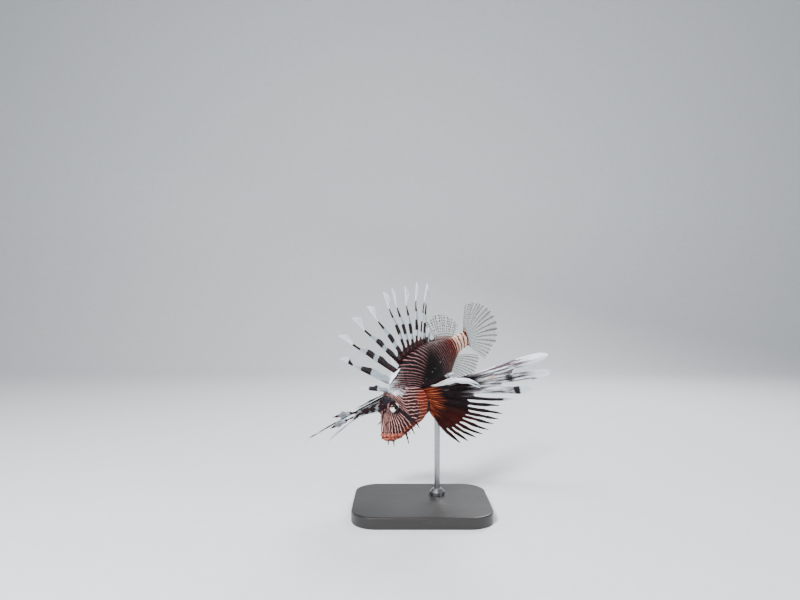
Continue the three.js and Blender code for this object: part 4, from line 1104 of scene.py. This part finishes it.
class Fan:
    """The rays of a pectoral fin, spread from a first direction to a last one."""

    def __init__(self, side, lead, trail, lengths, cup, vanes):
        self.side = side
        self.lengths = lengths
        self.cup = cup
        self.vanes = vanes
        self.first = way_of(lead, side)
        last = way_of(trail, side)
        self.normal = unit(np.cross(self.first, last))
        self.spread = math.acos(float(self.first @ last))

    def length(self, i):
        return float(along(self.lengths, i)) * BODY_LENGTH

    def root(self, u):
        return bend(skin_spot([mix(*ends, u) for ends in zip(*PECTORAL_ROOT)], self.side, -ROOT_DEPTH))

    def middle(self, i, reach):
        u = i / (PECTORAL_RAYS - 1)
        curl = FINGER_CURL * smooth(u, 0.3, 0.7) * (reach / (0.45 * BODY_LENGTH)) ** 2
        way = turned(self.first, self.normal, self.spread * u - curl)
        cup = along(self.cup, i) * reach ** 2 / self.length(i)
        return self.root(u) + way * reach[..., None] + self.normal * cup[..., None]

    def half_width(self, i, t, toward):
        """How far a ray's vane reaches toward the ray before or after it, and which way that is."""
        reach = t * self.length(i)
        point = self.middle(i, reach)
        way = self.middle(i + toward, np.minimum(reach, self.length(i + toward))) - point
        ray = unit(np.gradient(point, axis=0))
        way -= (way * ray).sum(-1, keepdims=True) * ray
        room = np.linalg.norm(way, axis=-1)
        return np.minimum(along(self.vanes.get(i, PECTORAL_VANE), t), 0.44 * room), unit(way)

    def joined(self, i):
        """How far out the skin joins a ray to the next one, in millimetres."""
        share = 0.28 if i == 0 else 0.82 if i < 3 and self.side > 0 else 0.64
        return share * min(self.length(i), self.length(i + 1))


def fan_lobe(reach):
    """The fleshy root of the fan thickens it."""
    return LOBE_HALF * smooth(reach, LOBE_END, LOBE_START)


def add_fan(parts, fan, tones):
    """Every ray of a fan as a ridged vane, and the skin between them as far as it joins them."""
    t = np.linspace(0, 1, 84)[:, None]
    v = np.linspace(-1, 1, 13)
    free = smooth(t, 0.5, 0.75)
    barbs = 0.06 * np.cos(9 * np.pi * v) * free
    for i in range(PECTORAL_RAYS):
        reach = t * fan.length(i)
        before, way_before = fan.half_width(i, t, -1)
        after, way_after = fan.half_width(i, t, 1)
        wave = 1 + free * (0.1 * np.sin(23 * t + 1.7 * i) + 0.07 * np.sin(41 * t + 2.3 * i))
        wide = np.where(v < 0, before, after)
        way = np.where((v < 0)[:, None], way_before, way_after)
        lift = 0.225 * v ** 2 * free * np.sin(9 * t + i) * wide + 0.8 * np.sin(4 * t + 2.1 * i) * t ** 2
        grid = fan.middle(i, reach) + way * (np.abs(v) * wide * wave)[..., None]
        grid += fan.normal * lift[..., None]
        halves = 0.24 + fan_lobe(reach) + crest(v, 0.24) * (mix(1.1, 0.3, t) - 0.24) + barbs
        halves[:, [0, -1]] = 0.14 + fan_lobe(reach)
        parts.add_sheet(grid, halves, **fan_marks(tones, i + 0.36 * v, reach, fan.length(i), 0))
    s = np.linspace(0, 1, 60)[:, None]
    w = np.linspace(0, 1, 13)
    for i in range(PECTORAL_RAYS - 1):
        reach = s * fan.joined(i) * (1 - 0.09 * np.sin(np.pi * w) ** 1.5)
        sag = 0.9 * np.sin(np.pi * w) * smooth(s, 0.15, 0.5) * (-1) ** i
        grid = mix(fan.middle(i, reach), fan.middle(i + 1, reach), w[:, None]) + fan.normal * sag[..., None]
        halves = 0.22 + 0.05 * np.cos(6 * np.pi * w) + fan_lobe(reach)
        length = mix(fan.length(i), fan.length(i + 1), w)
        parts.add_sheet(grid, halves, **fan_marks(tones, i + w, reach, length, 1.0 if i < 3 else 0.2))


def fan_marks(tones, across, reach, length, web):
    t = reach / length
    pale, red, dark = tones(t, across, length - reach)
    root = smooth(reach + 3 * np.sin(2.2 * across), 31, 15) * smooth(across, 0.4, 1.6)
    return {
        "fin_place": (t, across, 0), "fan_tones": (pale, red, root), "fan_marks": (dark, web * (1 - root), 0)}


def left_tones(t, across, from_tip):
    """White plumes above, black behind them and dark red fingers below."""
    pale = smooth(across, 0.3, 0.7) * smooth(across, 3.9, 3.3)
    pale = pale * smooth(t + 0.05 * np.sin(9 * across), 0.4, 0.56)
    tip = hump(across, 4.0, 0.45) * smooth(t, 0.88, 0.92) + hump(across, 0, 0.5) * smooth(t, 0.72, 0.78)
    red = smooth(across, 5.5, 8.5) * hump(t, 0.5, 0.42)
    dark = np.maximum.reduce(np.broadcast_arrays(
        hump(across, 4.0, 0.5) * smooth(t, 0.74, 0.78) * smooth(t, 0.9, 0.88),
        hump(across, 2.9, 0.9) ** 0.4 * hump(t, 0.87, 0.055),
        0.7 * hump(across, 1.9, 0.7) ** 0.4 * hump(t, 0.7, 0.09),
        smooth(across, 4.6, 5.2) * smooth(t, 0.72, 0.9)))
    return np.clip(np.maximum(pale, tip), 0, 1), red, dark


RIGHT_BANDS = [
    (0, 0), (24, 0), (26, 1), (33, 1), (35, 0), (49, 0), (51, 1), (67, 1), (69, 0.1), (77, 0.1), (79, 1),
    (97, 1), (99, 0.1), (104, 0.1), (106, 1), (200, 1),
]


def right_tones(t, across, from_tip):
    """Bands along the upper rays, dark red below."""
    banded = straight(RIGHT_BANDS, from_tip + 3 * np.sin(2 * across))
    upper = smooth(across, 4.6, 3.4)
    pale = upper * (1 - banded) + (1 - upper) * smooth(t, 0.9, 0.95) * 0.6
    return pale, smooth(across, 3.5, 7) * hump(t, 0.5, 0.42), upper * banded * 0.4


BANNER_LENGTH = 0.35
BANNER_TURN = [(0, 12), (0.3, 10), (0.6, 7), (0.85, 13), (1, 21)]
BANNER_HALF = [(0, 1), (0.3, 1.8), (0.55, 4.6), (0.7, 5), (0.9, 4.2), (1, 3.4)]
BANNER_CLEAR = 3.2


def add_banner(parts, fan):
    """The long leaf of loose skin before the near fin, with ragged edges and an end torn into two points."""
    t = np.linspace(0, 1, 60)[:, None]
    v = np.linspace(-1, 1, 13)

    def middle_of(t):
        way = turned(fan.first, fan.normal, np.radians(along(BANNER_TURN, t)))
        reach = t * (BANNER_LENGTH * BODY_LENGTH + ROOT_DEPTH)
        clear = BANNER_CLEAR * smooth(t, 0.02, 0.35)
        return fan.root(0) + way * reach[..., None] - fan.normal * clear[..., None]

    def ragged(size, count, shift):
        return 1 + size * (np.abs((count * t + shift) % 1 - 0.5) * 2 - 0.5) * smooth(t, 0.3, 0.5)

    sideways = np.cross(fan.normal, unit(middle_of(t + 0.02) - middle_of(t)))
    edge = np.where(v > 0, ragged(0.32, 5, 0.2), ragged(0.24, 4, 0.55))
    half = along(BANNER_HALF, t) * (1 + 0.1 * np.sin(17 * t)) * v * edge
    torn = t * (1 - 0.13 * (1 - np.abs(v)) ** 0.8 * (1 + 0.4 * v))
    fold = 0.9 * np.cos(2.2 * v) * smooth(t, 0.3, 0.6) * np.sin(6 * t)
    parts.add_sheet(
        middle_of(torn) + sideways * half[..., None] + fan.normal * fold[..., None],
        0.26 + 0.5 * crest(v, 0.2) * mix(1, 0.2, t),
        fin_place=(t * 0.3 + 0.95, v * 0.3 + 30, 0),
        fan_tones=(smooth(t, 0.2, 0.34), 0, 0), fan_marks=(0, 0, 0))


def build_pectorals():
    left = Parts()
    vanes = {1: PLUME_VANE, 2: PLUME_VANE, 3: PLUME_VANE}
    fan = Fan(1, (0.3, 0.95, 0.16), (0.04, -0.1, -1), LEFT_RAYS, LEFT_CUP, vanes)
    add_fan(left, fan, left_tones)
    add_banner(left, fan)
    left.piece("pectoral_fan_left", "banded_fin", pectoral_fin, "pectoral_fin_left")
    right = Parts()
    vanes = {1: SLENDER_VANE, 2: LEAF_VANE, 3: SLENDER_VANE}
    fan = Fan(-1, (-0.77, 0.63, 0.11), (0.44, 0.775, -0.47), RIGHT_RAYS, RIGHT_CUP, vanes)
    add_fan(right, fan, right_tones)
    right.piece("pectoral_fan_right", "banded_fin", pectoral_fin, "pectoral_fin_right")


# Tentacles over the eyes
TENTACLE_ROOT = np.array([0.155, 0.032, 0.108]) * BODY_LENGTH
TENTACLE_LEAF = 3.0
TENTACLES = {1: (80, (-1, -0.45, 0.78)), -1: (76, (-1, 0.5, 0.42))}
TENTACLE_BANDS = [
    (0, 1), (0.16, 1), (0.2, 0.52), (0.25, 0.52), (0.29, 1), (0.48, 1), (0.51, 0.5), (0.56, 0.5), (0.6, 1),
    (0.68, 0.95), (0.73, 0.2), (0.8, 0.45), (0.9, 0.4), (0.94, 0.9), (1, 0.9),
]
TENTACLE_TAN = [(0, 0.2), (0.7, 0.15), (0.78, 0.7), (0.9, 0.7), (1, 0.3)]


def build_tentacle(side):
    """A stem with a thin fringe that swells to a leaf near its end."""
    length, direction = TENTACLES[side]
    way = way_of(direction, side)
    across = unit(np.cross(np.cross((0.4, 0, 1.0), way), way))
    t = np.linspace(0, 1, 80)
    middle = bend(TENTACLE_ROOT * (1, side, 1)) + way * (t * length)[:, None]
    middle[:, 2] -= 5 * t ** 2
    parts = Parts()
    parts.add_bar(
        middle, mix(1.5, 0.35, t ** 0.8), 12, fin_place=(t * length / RAY_SPAN, 20, 0),
        fin_tones=(straight(TENTACLE_BANDS, t), along(TENTACLE_TAN, t), 0))
    t = t[:, None]
    v = np.linspace(-1, 1, 13)
    swell = TENTACLE_LEAF * np.maximum(np.sin(np.pi * (np.minimum(t, 0.96) - 0.66) / 0.3), 0)
    wide = mix(2.2, 0.9, np.minimum(t / 0.7, 1)) * (1 - 0.6 * smooth(t, 0.94, 1)) + swell
    wide = wide * (1 + 0.22 * np.sin(47 * t) * smooth(t, 0.1, 0.2))
    wave = 0.6 * np.sin(14 * t) * np.abs(v)
    grid = middle[:, None] + across * (wide * v)[..., None] + np.cross(way, across) * wave[..., None]
    parts.add_sheet(
        grid, 0.22 + 0.25 * crest(v, 0.3) * (1 - t), fin_place=(t * length / RAY_SPAN, 20 + v, 0),
        fin_tones=(
            straight(TENTACLE_BANDS, t + 0.02 * np.sin(6 * v)),
            along(TENTACLE_TAN, t) * (1 - 0.8 * np.abs(v) ** 3), 0.35 * smooth(np.abs(v), 0.4, 0.9)))
    parts.piece("brow_tentacle_" + SIDE_NAMES[side], "tentacle", banded_fin, "tentacle_" + SIDE_NAMES[side])


# Skin flaps and spines of the head: place, direction to the back, out and up, length, width
FLAPS = [
    ((0.05, -48), (-0.6, 0.1, -0.8), 6, 2.6),
    ((0.135, -38), (-0.5, 0.25, -0.85), 13, 3.6),
    ((0.175, -34), (-0.3, 0.5, -0.8), 10, 3),
    ((0.215, -40), (-0.1, 0.5, -0.8), 8, 2.8),
    ((0.08, 52), (-0.8, 0.3, 0.5), 6, 1.8),
    ((0.155, -42), (-0.4, 0.3, -0.8), 5, 1.8),
    ((0.195, -36), (-0.2, 0.5, -0.8), 5, 1.8),
    ((0.24, -30), (0.2, 0.6, -0.7), 4, 1.6),
]
CHEEK_SPINES = [
    ((0.262, -3), (1, 0.5, 0.1), 7, 2.4),
    ((0.245, -20), (1, 0.5, -0.4), 6, 2.4),
    ((0.215, -32), (0.8, 0.5, -0.9), 5, 2.4),
]
FLAP_SAG = np.array([-0.25, 0, -0.35])


def build_flaps():
    parts = Parts()
    t = np.linspace(-0.12, 1, 34)[:, None]
    v = np.linspace(-1, 1, 7)
    out = np.maximum(t, 0)
    s = np.linspace(0, 1, 16)
    for side in (1, -1):
        for index, (place, direction, length, width) in enumerate(FLAPS):
            way = way_of(direction, side)
            middle = bend(skin_spot(place, side)) + (way * t + FLAP_SAG * out ** 2) * length
            sideways = unit(np.cross(way, (0.3, side, 0.2)))
            fringe = 1 + 0.28 * np.sin(22 * t + index) * smooth(t, 0.2, 0.5)
            half = np.maximum(mix(width / 2, 0.25, out ** 1.5) * fringe, 0.18)
            parts.add_sheet(
                middle[:, None] + sideways * (half * v)[..., None], 0.2 + 0.35 * crest(v, 0.4) * (1 - out),
                fin_place=(t * length / RAY_SPAN, 40 + index + v * 0.6, 0),
                fin_tones=(0.85 + 0.15 * np.sin(13 * t + index), 0.75, 0))
        for index, (place, direction, length, width) in enumerate(CHEEK_SPINES):
            middle = bend(skin_spot(place, side, -0.8)) + way_of(direction, side) * (s * length)[:, None]
            parts.add_bar(
                middle, mix(width / 2, 0.15, s ** 0.8), 10,
                fin_place=(s * length / RAY_SPAN, 60 + index, 0),
                fin_tones=(0.9 - 0.6 * smooth(s, 0.6, 1), 0.9 * (1 - s), 0))
    parts.piece("head_flaps", "skin", banded_fin)


build_skin()
for side in (1, -1):
    build_eye(side)
build_spines()
for fin in SOFT_FINS:
    build_soft_fin(*fin)
build_pectorals()
for build in (build_pelvic, build_tentacle):
    for side in (1, -1):
        build(side)
build_flaps()


# Stand: the solids are the pieces, with their own finishes
for node in ("stand_base", "stand_collar", "stand_rod"):
    finish = stand_lacquer if node == "stand_base" else stand_steel
    solid = bpy.data.objects[node]
    solid.data.materials.clear()
    solid.data.materials.append(finish)

# Floor and backdrop, joined by a curve
bpy.ops.object.select_all(action="DESELECT")
FLOOR_HALF = 6.0
FLOOR_FRONT = -3.0
BACKDROP_TOP = 4.0
CURVE_START = 1.6
CURVE_RADIUS = 0.8
CURVE_STEPS = 24

profile = [(FLOOR_FRONT, 0.0)]
for step in range(CURVE_STEPS + 1):
    turn = math.pi / 2 * step / CURVE_STEPS
    profile.append((CURVE_START + math.sin(turn) * CURVE_RADIUS, (1 - math.cos(turn)) * CURVE_RADIUS))
profile.append((CURVE_START + CURVE_RADIUS, BACKDROP_TOP))
floor_points = [(x, y, z) for y, z in profile for x in (-FLOOR_HALF, FLOOR_HALF)]
floor_faces = [(k, k + 1, k + 3, k + 2) for k in range(0, 2 * len(profile) - 2, 2)]
floor_mesh = bpy.data.meshes.new("studio_floor")
floor_mesh.from_pydata(floor_points, [], floor_faces)
floor_mesh.polygons.foreach_set("use_smooth", [True] * len(floor_faces))
floor_mesh.materials.append(pale_paper)
floor = new_object("studio_floor", floor_mesh)

# Light: name, place, size, power
LIT_POINT = Vector((0, 0, 0.2))
for name, place, size, power in (
        ("key", (-0.7, -1.2, 1.5), 0.5, 84),
        ("fill", (1.4, -1.0, 0.8), 1.2, 9),
        ("rim", (0.6, 1.2, 1.4), 0.7, 30)):
    lamp = bpy.data.lights.new(name, "AREA")
    lamp.shape = "DISK"
    lamp.size = size
    lamp.energy = power
    holder = new_object(name, lamp)
    holder.location = place
    holder.rotation_euler = (LIT_POINT - Vector(place)).to_track_quat("-Z", "Y").to_euler()
world = bpy.data.worlds.new("studio")
bpy.context.scene.world = world
world.use_nodes = True
sky = world.node_tree.nodes["Background"].inputs
sky["Color"].default_value = (0.95, 0.97, 1.0, 1)
sky["Strength"].default_value = 0.3

# The photo's view: level, before the fish
lens = bpy.data.cameras.new("view")
lens.sensor_width = 36
lens.lens = 27.9
camera = new_object("view", lens)
camera.location = (-0.0297, -0.870, 0.2953)
camera.rotation_euler = (math.radians(90), 0, 0)
bpy.context.scene.camera = camera
